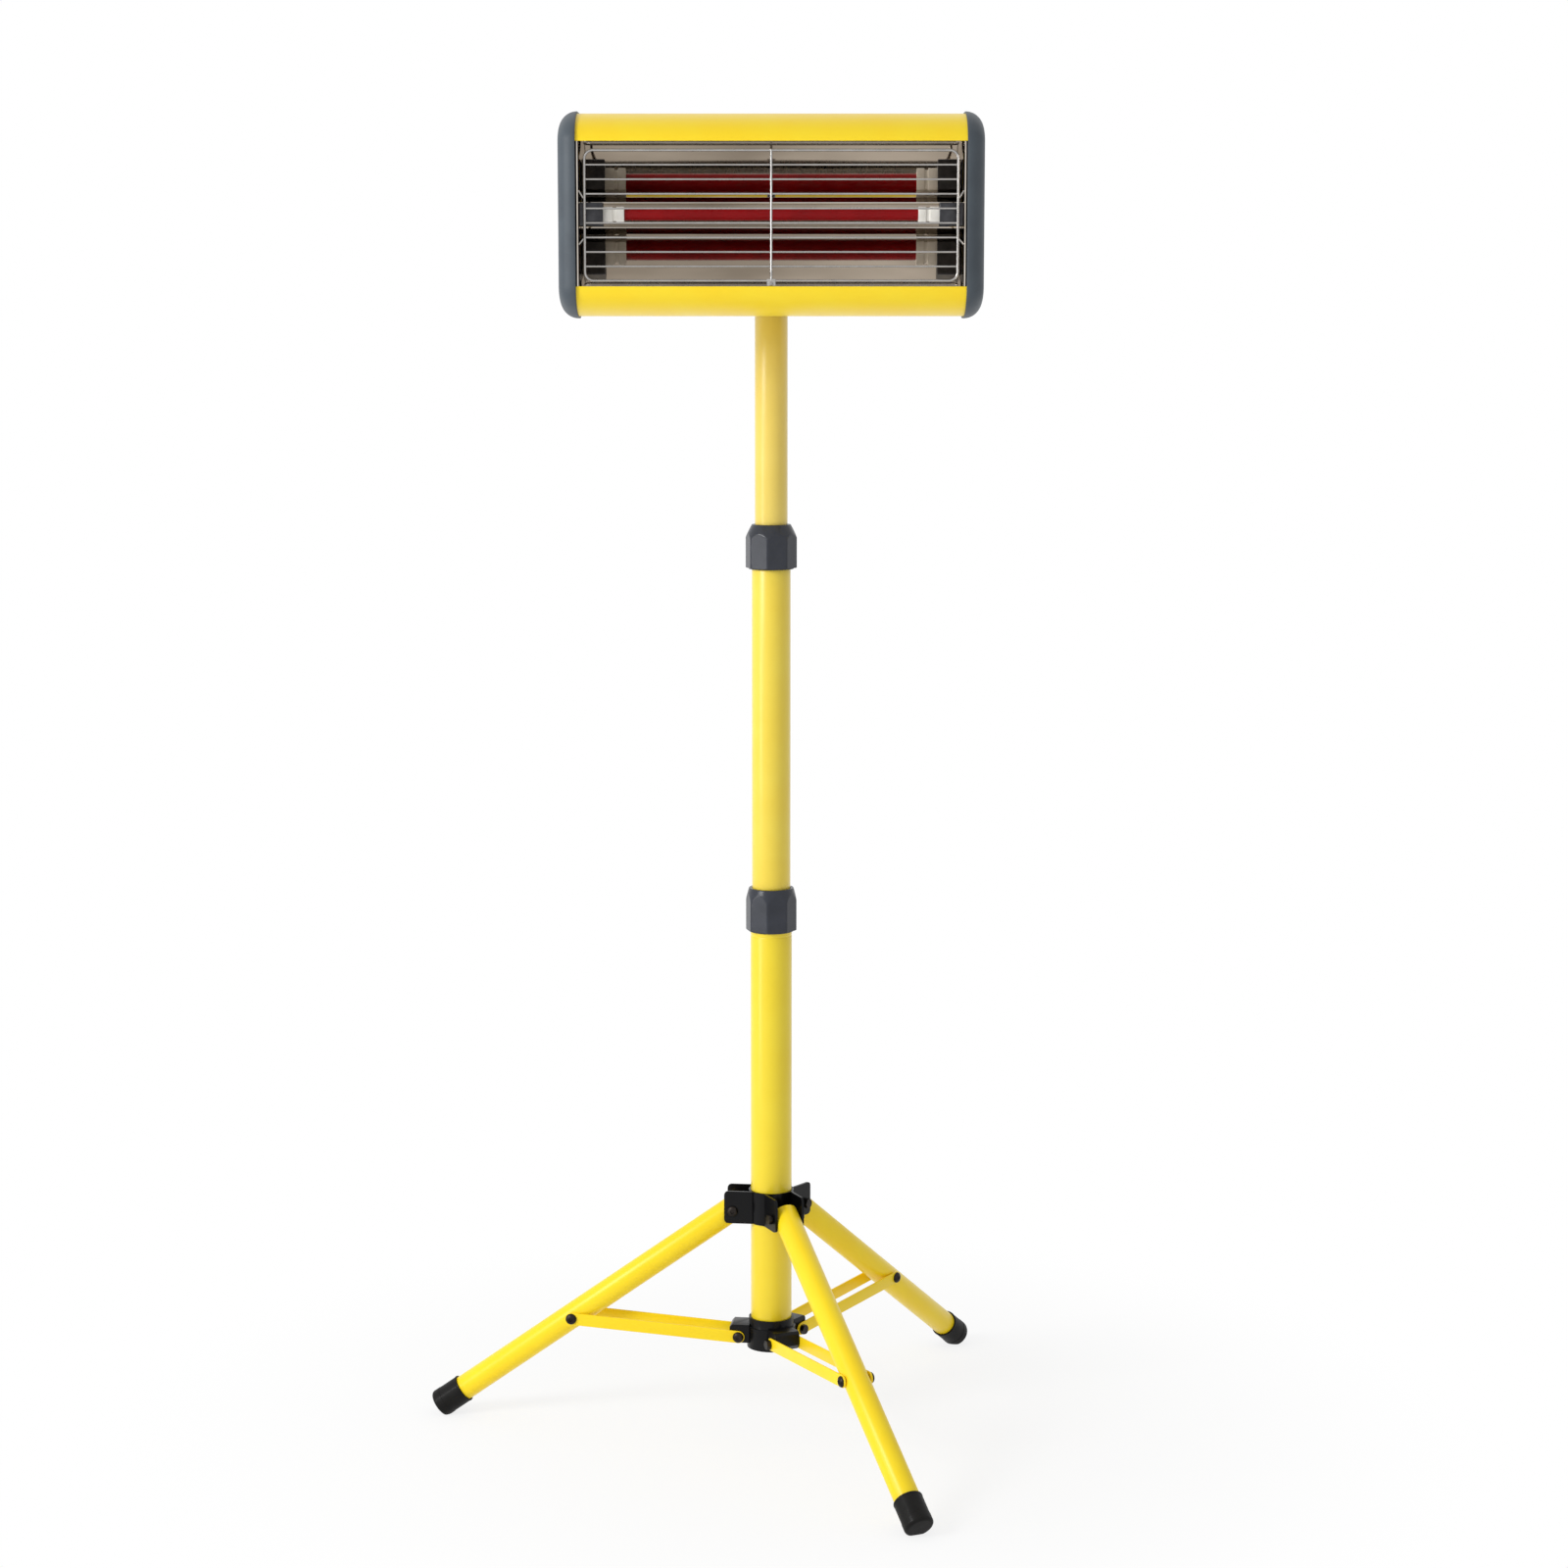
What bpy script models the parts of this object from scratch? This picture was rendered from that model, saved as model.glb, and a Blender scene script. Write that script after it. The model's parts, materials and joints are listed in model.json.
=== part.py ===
"""Infrared paint curing lamp on a telescopic mast with a folding tripod.

Metres, +Z up. The lamp faces -Y, the floor is z = 0, and the origin is the middle of the
whole lamp's footprint on the floor. Every moving piece hangs from an empty on its axis.
"""

import math

import bmesh
import bpy
from mathutils import Matrix, Vector

# Fits and mesh fineness
SEAT_GAP = 0.0003
CUT_OVERRUN = 0.002
WELD = 0.000001
TUBE_STEPS = 32
LEG_STEPS = 24
SMALL_STEPS = 12
SMOOTH_BELOW = math.radians(35)

# Legs: straight round tubes in rubber caps, hinged on the sliding upper hub
LEG_NAMES = ("left", "front", "rear")
FIRST_LEG_AZIMUTH = math.radians(173.6)
LEG_RADIUS = 0.0127
LEG_WALL = 0.0012
LEG_REACH = 0.3757
LEG_SLOPE = math.radians(35.46)
LEG_FOLDED_SLOPE = math.radians(86.5)
LEG_PAST_PIVOT = 0.006
FOOT_CAP_WALL = 0.0015
FOOT_CAP_BASE = 0.006
FOOT_CAP_LENGTH = 0.032
FOOT_CAP_EDGE = 0.002
FOOT_FLAT_DEPTH = 0.0035

# Bolts through the hubs, with a domed head on one side and a nut on the other
BOLT_RADIUS = 0.003
BOLT_HEAD_RADIUS = 0.0056
BOLT_HEAD_HEIGHT = 0.0032
NUT_RADIUS = 0.0052
NUT_HEIGHT = 0.0045

# Upper hub: a stamped ring that slides on the mast, with a pair of ears for each leg
UPPER_PIVOT_RADIUS = 0.0375
UPPER_HUB_WALL = 0.002
UPPER_HUB_BELOW_PIVOT = 0.0125
UPPER_HUB_ABOVE_PIVOT = 0.0205
EAR_THICKNESS = 0.0025
EAR_PAST_PIVOT = 0.0085
EAR_CORNER = 0.004
EAR_ROOT_SHARE = 0.84
CLAMP_BOSS_WIDTH = 0.013
CLAMP_BOSS_HEIGHT = 0.016
CLAMP_BOSS_DEPTH = 0.0095

# Lower hub: a moulded cup on the mast's foot, with a lug for each pair of braces
LOWER_PIVOT_RADIUS = 0.032
LOWER_PIVOT_HEIGHT = 0.0952
LOWER_HUB_WALL = 0.0037
LOWER_HUB_BELOW_PIVOT = 0.0117
LOWER_HUB_ABOVE_PIVOT = 0.0193
LOWER_HUB_COLLAR_HEIGHT = 0.009
LOWER_HUB_SHOULDER = 0.0055
LUG_PAST_PIVOT = 0.009
LUG_ABOVE_PIVOT = 0.0125
LUG_BELOW_PIVOT = 0.0062
LUG_END_CHAMFER = 0.005

# Braces: a pair of flat strips for each leg, one on either side of it
BRACE_HEIGHT = 0.0125
BRACE_THICKNESS = 0.002
BRACE_SIDE_GAP = 0.0006
BRACE_POINT_SHARE = 0.5408
BRACE_END_STEPS = 8

# Mast: three telescoping tubes
BASE_TUBE_RADIUS = 0.0205
TUBE_WALL = 0.0012
GUIDE_WALL = 0.0012
BEAD_BELOW_NUT = 0.0045
BEAD_WIDTH = 0.0016
BEAD_DEPTH = 0.0004
MIDDLE_TUBE_OVERLAP = 0.060
TOP_TUBE_OVERLAP = 0.075
GUIDE_LENGTH = 0.022
GUIDE_FLANGE = 0.004
GUIDE_BORE_SHARE = 0.72
BASE_PLUG_LENGTH = 0.018

# Locking collars: a split sleeve on each tube end under a twisting eight-sided nut
LOWER_COLLAR_BOTTOM = 0.5125
UPPER_COLLAR_BOTTOM = 0.8735
COLLAR_HEIGHT = 0.0425
COLLAR_TOP_CONE = 0.0125
COLLAR_WALL = 0.0031
COLLAR_TOP_WALL = 0.003
COLLAR_SIDES = 8
COLLAR_PHASE = math.radians(-98)
SLEEVE_WALL = 0.0014
SLEEVE_BELOW_TOP = 0.0095
SLEEVE_SKIRT = 0.0012

# Knobs: small ones clamp a hub with the end of their stud, the large one locks the tilt
CLAMP_KNOB_RADIUS = 0.0105
CLAMP_KNOB_LENGTH = 0.014
CLAMP_STUD_RADIUS = 0.003
KNOB_LOBES = 6
KNOB_LOBE_SHARE = 0.09
KNOB_POINTS = 36
KNOB_STAND_OFF = 0.0012

# Swivel block on the mast's top, and the bracket that tilts on it
HEAD_CENTRE_HEIGHT = 1.2115
TUBE_TOP_BELOW_PIVOT = 0.0615
SWIVEL_SOCKET_DEPTH = 0.028
SWIVEL_WALL = 0.0042
SWIVEL_ROOF = 0.006
TONGUE_WIDTH = 0.016
TONGUE_RADIUS = 0.012
PAN_KNOB_BELOW_TOP = 0.013
BRACKET_EAR_THICKNESS = 0.003
BRACKET_PLATE_THICKNESS = 0.0025
BRACKET_PLATE_WIDTH = 0.064
BRACKET_PLATE_HEIGHT = 0.060
TILT_BOLT_RADIUS = 0.004
TILT_BOLT_HEAD_RADIUS = 0.0085
TILT_BOLT_HEAD_HEIGHT = 0.004
TILT_KNOB_RADIUS = 0.018
TILT_KNOB_LENGTH = 0.016
TILT_KNOB_ROOF = 0.004

# Head casing: an extruded shell, open to the front, between two domed end caps
HEAD_WIDTH = 0.394
HEAD_BACK_FROM_PIVOT = 0.050
HEAD_DEPTH = 0.110
SHELL_HALF_HEIGHT = 0.0935
MOUTH_HALF_HEIGHT = 0.066
LIP_DEPTH = 0.055
BACK_CORNER_RADIUS = 0.032
SHELL_WALL = 0.0016
LIP_STEPS = 6
BACK_STEPS = 5
CAP_WIDTH = 0.0167
CAP_PROUD = 0.002
CAP_OVERLAP = 0.005
CAP_DOME_STEPS = 5
CAP_CAVITY_STEP = 0.004
CAP_CAVITY_DEPTH = 0.0055
CAP_CAVITY_INSET = 0.010
VENT_WIDTH = 0.004
VENT_LENGTH = 0.024
VENT_PITCH = 0.014
VENT_FIRST = 0.075
VENT_FROM_CAP = 0.030
VENT_HEIGHT = 0.038

# Reflector: polished sheet bent to a W, with its ridge behind the lamp
SHEET = 0.001
RIM_BEHIND_LIP = 0.001
TROUGH_HALF_HEIGHT = 0.012
RIDGE_HEIGHT = 0.0115
FACET_MIDDLE = 0.032
FACET_TILT = math.radians(37)
FACET_RADIUS = 0.190
FACET_STEPS = 6
RIDGE_STEPS = 4

# Lamp: a ruby quartz tube in ceramic ends, held between two end plates
LAMP_RADIUS = 0.0055
GLASS_WALL = 0.001
GLASS_IN_BASE = 0.008
LAMP_FROM_FACET = 0.008
LAMP_BASE_SIDE = 0.014
LAMP_BASE_LENGTH = 0.0245
LAMP_END_ROOM = 0.0168
FILAMENT_RADIUS = 0.0009
FILAMENT_DISC_THICKNESS = 0.0012
FILAMENT_DISCS = 6
HOLDER_GRIP = 0.005
HOLDER_WALL = 0.0035
HOLDER_BACK_WALL = 0.0012
END_PLATE_THICKNESS = 0.0012

# Wire guard: a round-cornered frame with cross wires, hooked into the end plates
GUARD_SIDE_ROOM = 0.0054
GUARD_RIM_ROOM = 0.0075
GUARD_DROP = 0.0015
GUARD_CORNER_RADIUS = 0.008
FRAME_WIRE_RADIUS = 0.0013
CROSS_WIRE_RADIUS = 0.0009
UPRIGHT_WIRE_RADIUS = 0.0011
HOOK_HEIGHT_SHARES = (0.24, -0.38)
CROSS_WIRES = 8
CORNER_STEPS = 4
GUARD_TAB_WIDTH = 0.008
GUARD_TAB_HEIGHT = 0.009
GUARD_TAB_THICKNESS = 0.001
GUARD_BEND = 0.010
SCREW_RADIUS = 0.0012
SCREW_HEAD_RADIUS = 0.002
SCREW_HEAD_HEIGHT = 0.0016
SCREW_LENGTH = 0.010

# Electrics on the casing's back wall
SWITCH_FROM_CAP = 0.0753
SWITCH_Z = -0.010
SWITCH_BEZEL_WIDTH = 0.0215
SWITCH_BEZEL_HEIGHT = 0.0155
SWITCH_BEZEL_PROUD = 0.002
SWITCH_BEZEL_RIM = 0.0013
SWITCH_BODY_DEPTH = 0.017
SWITCH_WINDOW_WALL = 0.0015
ROCKER_POCKET_DEPTH = 0.007
ROCKER_THICKNESS = 0.0042
ROCKER_PEAK = 0.0016
ROCKER_SIDE_GAP = 0.0004
ROCKER_END_GAP = 0.0006
ROCKER_TILT = math.radians(7)
GLAND_FROM_CAP = 0.0753
GLAND_Z = -0.040
GLAND_THREAD_RADIUS = 0.008
GLAND_FLANGE_RADIUS = 0.0115
GLAND_FLANGE = 0.005
GLAND_DOME_RADIUS = 0.0092
GLAND_DOME_LENGTH = 0.013
GLAND_MOUTH_RADIUS = 0.0055
GLAND_BORE_RADIUS = 0.0035
GLAND_NUT = 0.004
TERMINAL_FROM_GLAND = 0.060
TERMINAL_LENGTH = 0.040
TERMINAL_HEIGHT = 0.018
TERMINAL_DEPTH = 0.014
TERMINAL_POLES = 3
TERMINAL_SLOT = 0.003

# Sizes that follow from the ones above
FOOT_CAP_RADIUS = LEG_RADIUS + SEAT_GAP + FOOT_CAP_WALL
FOOT_TIP_HEIGHT = FOOT_CAP_RADIUS * math.cos(LEG_SLOPE) - FOOT_FLAT_DEPTH
UPPER_PIVOT_HEIGHT = FOOT_TIP_HEIGHT + LEG_REACH * math.sin(LEG_SLOPE)
UPPER_HUB_BORE = BASE_TUBE_RADIUS + SEAT_GAP
UPPER_HUB_RADIUS = UPPER_HUB_BORE + UPPER_HUB_WALL
EAR_INNER = LEG_RADIUS + SEAT_GAP
STRIP_INNER = LEG_RADIUS + BRACE_SIDE_GAP
LUG_HALF_WIDTH = STRIP_INNER - SEAT_GAP
LOWER_HUB_BORE = BASE_TUBE_RADIUS + SEAT_GAP
LOWER_HUB_RADIUS = LOWER_HUB_BORE + LOWER_HUB_WALL
LOWER_HUB_BOTTOM = LOWER_PIVOT_HEIGHT - LOWER_HUB_BELOW_PIVOT
BASE_TUBE_BOTTOM = LOWER_HUB_BOTTOM + LOWER_HUB_SHOULDER + SEAT_GAP
BASE_TUBE_INNER = BASE_TUBE_RADIUS - TUBE_WALL
MIDDLE_TUBE_RADIUS = BASE_TUBE_INNER - SEAT_GAP
MIDDLE_TUBE_INNER = MIDDLE_TUBE_RADIUS - TUBE_WALL
TOP_GUIDE_RADIUS = MIDDLE_TUBE_INNER - SEAT_GAP
TOP_TUBE_RADIUS = TOP_GUIDE_RADIUS - GUIDE_WALL - SEAT_GAP
BASE_TUBE_TOP = LOWER_COLLAR_BOTTOM + COLLAR_HEIGHT / 2
MIDDLE_TUBE_TOP = UPPER_COLLAR_BOTTOM + COLLAR_HEIGHT / 2
MIDDLE_TUBE_BOTTOM = BASE_TUBE_TOP - MIDDLE_TUBE_OVERLAP
TOP_TUBE_BOTTOM = MIDDLE_TUBE_TOP - TOP_TUBE_OVERLAP
TOP_TUBE_TOP = HEAD_CENTRE_HEIGHT - TUBE_TOP_BELOW_PIVOT
SLEEVE_RADIUS = BASE_TUBE_RADIUS + SEAT_GAP + SLEEVE_WALL
COLLAR_BORE = SLEEVE_RADIUS + SEAT_GAP
COLLAR_RADIUS = COLLAR_BORE + COLLAR_WALL
HOLE_RADIUS = BOLT_RADIUS + SEAT_GAP
STUD_HOLE_RADIUS = CLAMP_STUD_RADIUS + SEAT_GAP
SWIVEL_BORE = TOP_TUBE_RADIUS + SEAT_GAP
SWIVEL_RADIUS = SWIVEL_BORE + SWIVEL_WALL
BRACKET_EAR_INNER = TONGUE_WIDTH / 2 + SEAT_GAP
BRACKET_EAR_OUTER = BRACKET_EAR_INNER + BRACKET_EAR_THICKNESS
TILT_HOLE_RADIUS = TILT_BOLT_RADIUS + SEAT_GAP
HEAD_BACK = -HEAD_BACK_FROM_PIVOT
HEAD_FRONT = HEAD_BACK - HEAD_DEPTH
LIP_HEIGHT = SHELL_HALF_HEIGHT - MOUTH_HALF_HEIGHT
CAP_INNER = HEAD_WIDTH / 2 - CAP_WIDTH
SHELL_HALF_LENGTH = CAP_INNER + CAP_OVERLAP - SEAT_GAP
END_PLATE_INNER = CAP_INNER - END_PLATE_THICKNESS * 2
REFLECTOR_HALF_LENGTH = END_PLATE_INNER - SEAT_GAP
REFLECTOR_RIM = HEAD_FRONT + SHELL_WALL + SHEET + SEAT_GAP
RIM_HALF_HEIGHT = MOUTH_HALF_HEIGHT + RIM_BEHIND_LIP
GLASS_HALF_SHOWN = REFLECTOR_HALF_LENGTH - LAMP_END_ROOM - LAMP_BASE_LENGTH
GUARD_WIDTH = 2 * (REFLECTOR_HALF_LENGTH - GUARD_SIDE_ROOM)
GUARD_HEIGHT = 2 * (RIM_HALF_HEIGHT - GUARD_RIM_ROOM)
VENT_COUNT = int((CAP_INNER - VENT_FROM_CAP - VENT_FIRST) / VENT_PITCH) + 1
SWITCH_X = SWITCH_FROM_CAP - CAP_INNER
GLAND_X = CAP_INNER - GLAND_FROM_CAP
TERMINAL_X = GLAND_X - TERMINAL_FROM_GLAND
SHELL_BACK_INNER = HEAD_BACK - SHELL_WALL


def leg_azimuth(index):
    return FIRST_LEG_AZIMUTH + index * 2 * math.pi / len(LEG_NAMES)


def facet_tilt(z):
    """How far the reflector's flank leans at this height, on its large arc."""
    return FACET_TILT + (z - FACET_MIDDLE) / (FACET_RADIUS * math.cos(FACET_TILT))


def facet_points(steps):
    """(y, z) along the polished face of the upper flank, from the trough to the rim."""
    pitch = (RIM_HALF_HEIGHT - TROUGH_HALF_HEIGHT) / steps
    z = RIM_HALF_HEIGHT
    y = REFLECTOR_RIM
    points = [(y, z)]
    for _ in range(steps):
        y += pitch * math.tan(facet_tilt(z - pitch / 2))
        z -= pitch
        points.append((y, z))
    return points[::-1]


def facet_depth(z):
    """y of the polished flank at this height."""
    points = facet_points(FACET_STEPS)
    for (y0, z0), (y1, z1) in zip(points, points[1:]):
        if z <= z1 or (y1, z1) == points[-1]:
            return y0 + (y1 - y0) * (z - z0) / (z1 - z0)


def ridge_points(steps):
    """(y, z) of the rounded ridge between the two flanks, from its top to the trough."""
    trough_y = facet_points(FACET_STEPS)[0][0]
    points = []
    for step in range(steps):
        share = step / steps
        rise = RIDGE_HEIGHT * (1 + math.cos(math.pi * share)) / 2
        points.append((trough_y - rise, share * TROUGH_HALF_HEIGHT))
    return points


LAMP_Y = facet_depth(FACET_MIDDLE) - LAMP_FROM_FACET
GUARD_LOWEST = GUARD_HEIGHT / 2 + GUARD_DROP
GUARD_STAND_OFF = (FRAME_WIRE_RADIUS + SEAT_GAP) / math.cos(facet_tilt(GUARD_LOWEST))
GUARD_Y = facet_depth(GUARD_LOWEST) - GUARD_STAND_OFF


def brace_point(slope, hub_rise):
    """(radius, height) of a leg's brace bolt with the leg at this slope below level."""
    reach = LEG_REACH * BRACE_POINT_SHARE
    return (
        UPPER_PIVOT_RADIUS + reach * math.cos(slope),
        UPPER_PIVOT_HEIGHT + hub_rise - reach * math.sin(slope),
    )


OPEN_POINT = brace_point(LEG_SLOPE, 0)
BRACE_LENGTH = math.hypot(
    OPEN_POINT[0] - LOWER_PIVOT_RADIUS, OPEN_POINT[1] - LOWER_PIVOT_HEIGHT
)
BRACE_SLOPE = math.asin((OPEN_POINT[1] - LOWER_PIVOT_HEIGHT) / BRACE_LENGTH)
FOLDED_OUT = brace_point(LEG_FOLDED_SLOPE, 0)[0] - LOWER_PIVOT_RADIUS
BRACE_FOLDED_SLOPE = math.acos(FOLDED_OUT / BRACE_LENGTH)
HUB_TRAVEL = (
    LOWER_PIVOT_HEIGHT
    + BRACE_LENGTH * math.sin(BRACE_FOLDED_SLOPE)
    - brace_point(LEG_FOLDED_SLOPE, 0)[1]
)


# Scene helpers
def clear_scene():
    for obj in list(bpy.data.objects):
        bpy.data.objects.remove(obj, do_unlink=True)


def look(name, color, roughness, metallic=0.0):
    material = bpy.data.materials.new(name)
    material.use_nodes = True
    shader = material.node_tree.nodes["Principled BSDF"]
    shader.inputs["Base Color"].default_value = (*color, 1)
    shader.inputs["Roughness"].default_value = roughness
    shader.inputs["Metallic"].default_value = metallic
    return material


def axis(name, parent, location=(0, 0, 0), turn=0.0, **facts):
    """An empty on a joint's axis. Its own properties say how far the joint moves."""
    empty = bpy.data.objects.new(name, None)
    bpy.context.scene.collection.objects.link(empty)
    empty.parent = parent
    empty.location = location
    empty.rotation_euler = (0, 0, turn)
    for key, value in facts.items():
        empty[key] = value
    return empty


def piece(name, mesh, finish, parent, rotation=(0, 0, 0), cuts=(), joins=()):
    """One named sub-part, with shapes joined to it and then cut from it."""
    obj = linked(name, mesh, parent, rotation)
    mesh.materials.append(finish)
    for operation, tools in (("UNION", joins), ("DIFFERENCE", cuts)):
        for index, tool_mesh in enumerate(tools):
            tool = linked(f"{name}_{operation.lower()}_{index}", tool_mesh, parent, rotation)
            hide_tool(tool)
            add_boolean(obj, operation, tool)
    mesh.shade_smooth()
    mesh.set_sharp_from_angle(angle=SMOOTH_BELOW)
    return obj


def linked(name, mesh, parent, rotation=(0, 0, 0)):
    obj = bpy.data.objects.new(name, mesh)
    bpy.context.scene.collection.objects.link(obj)
    obj.parent = parent
    obj.rotation_euler = rotation
    return obj


def hide_tool(tool):
    tool.hide_render = True
    tool.display_type = "WIRE"


def add_boolean(obj, operation, tool):
    modifier = obj.modifiers.new(operation.lower(), "BOOLEAN")
    modifier.operation = operation
    modifier.solver = "EXACT"
    modifier.object = tool


# Shape helpers
def finished(bm, name):
    bmesh.ops.remove_doubles(bm, verts=bm.verts, dist=WELD)
    bmesh.ops.recalc_face_normals(bm, faces=bm.faces)
    mesh = bpy.data.meshes.new(name)
    bm.to_mesh(mesh)
    bm.free()
    return mesh


def turned(profile, steps, about="Z", bored=False):
    """A profile of (radius, height) spun about the axis. A bored one is a closed outline."""
    bm = bmesh.new()
    verts = [bm.verts.new((radius, 0, height)) for radius, height in profile]
    ends = zip(verts, verts[1:] + verts[:1]) if bored else zip(verts, verts[1:])
    edges = [bm.edges.new(pair) for pair in ends]
    bmesh.ops.spin(
        bm,
        geom=verts + edges,
        cent=(0, 0, 0),
        axis=(0, 0, 1),
        angle=2 * math.pi,
        steps=steps,
        use_merge=True,
    )
    bmesh.ops.transform(bm, matrix=axis_matrix(about), verts=bm.verts)
    return finished(bm, "turned")


def axis_matrix(about):
    """Turns +Z to the named axis: +X or +Y."""
    if about == "X":
        return Matrix.Rotation(math.pi / 2, 4, "Y")
    if about == "Y":
        return Matrix.Rotation(-math.pi / 2, 4, "X")
    return Matrix.Identity(4)


def disc_profile(radius, low, high):
    return [(0, low), (radius, low), (radius, high), (0, high)]


def rod(radius, low, high, steps=SMALL_STEPS, about="Z", at=(0, 0, 0)):
    mesh = turned(disc_profile(radius, low, high), steps, about)
    mesh.transform(Matrix.Translation(at))
    return mesh


def sleeve_profile(inner, outer, low, high):
    return [(inner, low), (outer, low), (outer, high), (inner, high)]


def box(low, high):
    bm = bmesh.new()
    bmesh.ops.create_cube(bm, size=1)
    size = Vector(high) - Vector(low)
    middle = (Vector(high) + Vector(low)) / 2
    bmesh.ops.scale(bm, vec=size, verts=bm.verts)
    bmesh.ops.translate(bm, vec=middle, verts=bm.verts)
    return finished(bm, "box")


def boxes(spans):
    """Several separate boxes in one mesh, as a cutter."""
    bm = bmesh.new()
    for low, high in spans:
        made = bmesh.ops.create_cube(bm, size=1)["verts"]
        bmesh.ops.scale(bm, vec=Vector(high) - Vector(low), verts=made)
        bmesh.ops.translate(bm, vec=(Vector(high) + Vector(low)) / 2, verts=made)
    return finished(bm, "boxes")


def plate(outline, low, high, along="X"):
    """An outline extruded from low to high along X (outline in y, z), Y (x, z) or Z (x, y)."""
    bm = bmesh.new()
    place = {"X": lambda a, b: (low, a, b), "Y": lambda a, b: (a, low, b), "Z": lambda a, b: (a, b, low)}
    face = bm.faces.new([bm.verts.new(place[along](a, b)) for a, b in outline])
    moved = bmesh.ops.extrude_face_region(bm, geom=[face])["geom"]
    step = {"X": (1, 0, 0), "Y": (0, 1, 0), "Z": (0, 0, 1)}[along]
    verts = [element for element in moved if isinstance(element, bmesh.types.BMVert)]
    bmesh.ops.translate(bm, vec=Vector(step) * (high - low), verts=verts)
    return finished(bm, "plate")


def lofted(loops):
    """Equal outlines skinned in order, with the first and the last closed."""
    bm = bmesh.new()
    rows = [[bm.verts.new(point) for point in loop] for loop in loops]
    count = len(rows[0])
    for row, following in zip(rows, rows[1:]):
        for i in range(count):
            j = (i + 1) % count
            bm.faces.new((row[i], row[j], following[j], following[i]))
    bm.faces.new(rows[0][::-1])
    bm.faces.new(rows[-1])
    return finished(bm, "loft")


def wire(paths, radius, resolution, cyclic=False):
    """Round wires along straight-sided paths, as one mesh."""
    curve = bpy.data.curves.new("wire", "CURVE")
    curve.dimensions = "3D"
    curve.bevel_depth = radius
    curve.bevel_resolution = resolution
    curve.use_fill_caps = True
    for path in paths:
        spline = curve.splines.new("POLY")
        spline.points.add(len(path) - 1)
        spline.use_cyclic_u = cyclic
        for point, place in zip(spline.points, path):
            point.co = (*place, 1)
    guide = bpy.data.objects.new("wire", curve)
    bpy.context.scene.collection.objects.link(guide)
    bpy.context.view_layer.update()
    graph = bpy.context.evaluated_depsgraph_get()
    bm = bmesh.new()
    bm.from_mesh(guide.evaluated_get(graph).to_mesh())
    bpy.data.objects.remove(guide, do_unlink=True)
    return finished(bm, "wire")


def arc(centre, radius_a, radius_b, start, end, steps):
    """Points on an ellipse's arc, in degrees, with both ends."""
    points = []
    for step in range(steps + 1):
        angle = math.radians(start + (end - start) * step / steps)
        points.append(
            (centre[0] + radius_a * math.cos(angle), centre[1] + radius_b * math.sin(angle))
        )
    return points


def rounded_end_strip(length, height, steps):
    """Outline in (x, z) of a strip with round ends about x = 0 and x = length."""
    half = height / 2
    return arc((0, 0), half, half, 90, 270, steps) + arc((length, 0), half, half, -90, 90, steps)


def lobed_outline(radius):
    points = []
    for index in range(KNOB_POINTS):
        angle = 2 * math.pi * index / KNOB_POINTS
        reach = radius * (1 - KNOB_LOBE_SHARE * (1 - math.cos(KNOB_LOBES * angle)) / 2)
        points.append((reach * math.cos(angle), reach * math.sin(angle)))
    return points


def bolt_profile(grip_low, grip_high):
    """A bolt from its nut, below grip_low, to its domed head, above grip_high."""
    dome = arc(
        (0, grip_high + SEAT_GAP), BOLT_HEAD_RADIUS, BOLT_HEAD_HEIGHT, 0, 90, BRACE_END_STEPS // 2
    )
    nut_top = grip_low - SEAT_GAP
    nut_bottom = nut_top - NUT_HEIGHT
    return [
        (0, nut_bottom),
        (NUT_RADIUS, nut_bottom),
        (NUT_RADIUS, nut_top),
        (BOLT_RADIUS, nut_top),
        (BOLT_RADIUS, grip_high + SEAT_GAP),
    ] + dome


# Mast
def build_mast(finishes, root):
    painted, plastic = finishes["yellow_mast"], finishes["charcoal_plastic"]
    bead_top = LOWER_COLLAR_BOTTOM - BEAD_BELOW_NUT
    base_tube = [
        (BASE_TUBE_INNER, BASE_TUBE_BOTTOM),
        (BASE_TUBE_RADIUS, BASE_TUBE_BOTTOM),
        (BASE_TUBE_RADIUS, bead_top - BEAD_WIDTH),
        (BASE_TUBE_RADIUS - BEAD_DEPTH, bead_top - BEAD_WIDTH / 2),
        (BASE_TUBE_RADIUS, bead_top),
        (BASE_TUBE_RADIUS, BASE_TUBE_TOP),
        (BASE_TUBE_INNER, BASE_TUBE_TOP),
    ]
    piece("mast_base_tube", turned(base_tube, TUBE_STEPS, bored=True), painted, root)
    plug_bottom = BASE_TUBE_BOTTOM
    plug = rod(
        BASE_TUBE_INNER - SEAT_GAP, plug_bottom, plug_bottom + BASE_PLUG_LENGTH, TUBE_STEPS
    )
    piece("base_tube_plug", plug, plastic, root)

    middle = axis(
        "middle_tube_slide",
        root,
        (0, 0, LOWER_COLLAR_BOTTOM),
        travel=UPPER_COLLAR_BOTTOM - LOWER_COLLAR_BOTTOM - COLLAR_HEIGHT - GUIDE_LENGTH,
    )
    top = axis(
        "top_tube_slide",
        middle,
        (0, 0, UPPER_COLLAR_BOTTOM - LOWER_COLLAR_BOTTOM),
        travel=TOP_TUBE_TOP
        - SWIVEL_SOCKET_DEPTH
        - UPPER_COLLAR_BOTTOM
        - COLLAR_HEIGHT
        - GUIDE_FLANGE,
    )
    build_lower_collar(plastic, root)
    build_upper_collar(plastic, middle)
    build_middle_tube(painted, plastic, middle)
    build_top_tube(painted, plastic, top)
    return top


def lowered(mesh, parent_height):
    """Moves a mesh made at world height into the frame of an axis at that height."""
    mesh.transform(Matrix.Translation((0, 0, -parent_height)))
    return mesh


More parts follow.
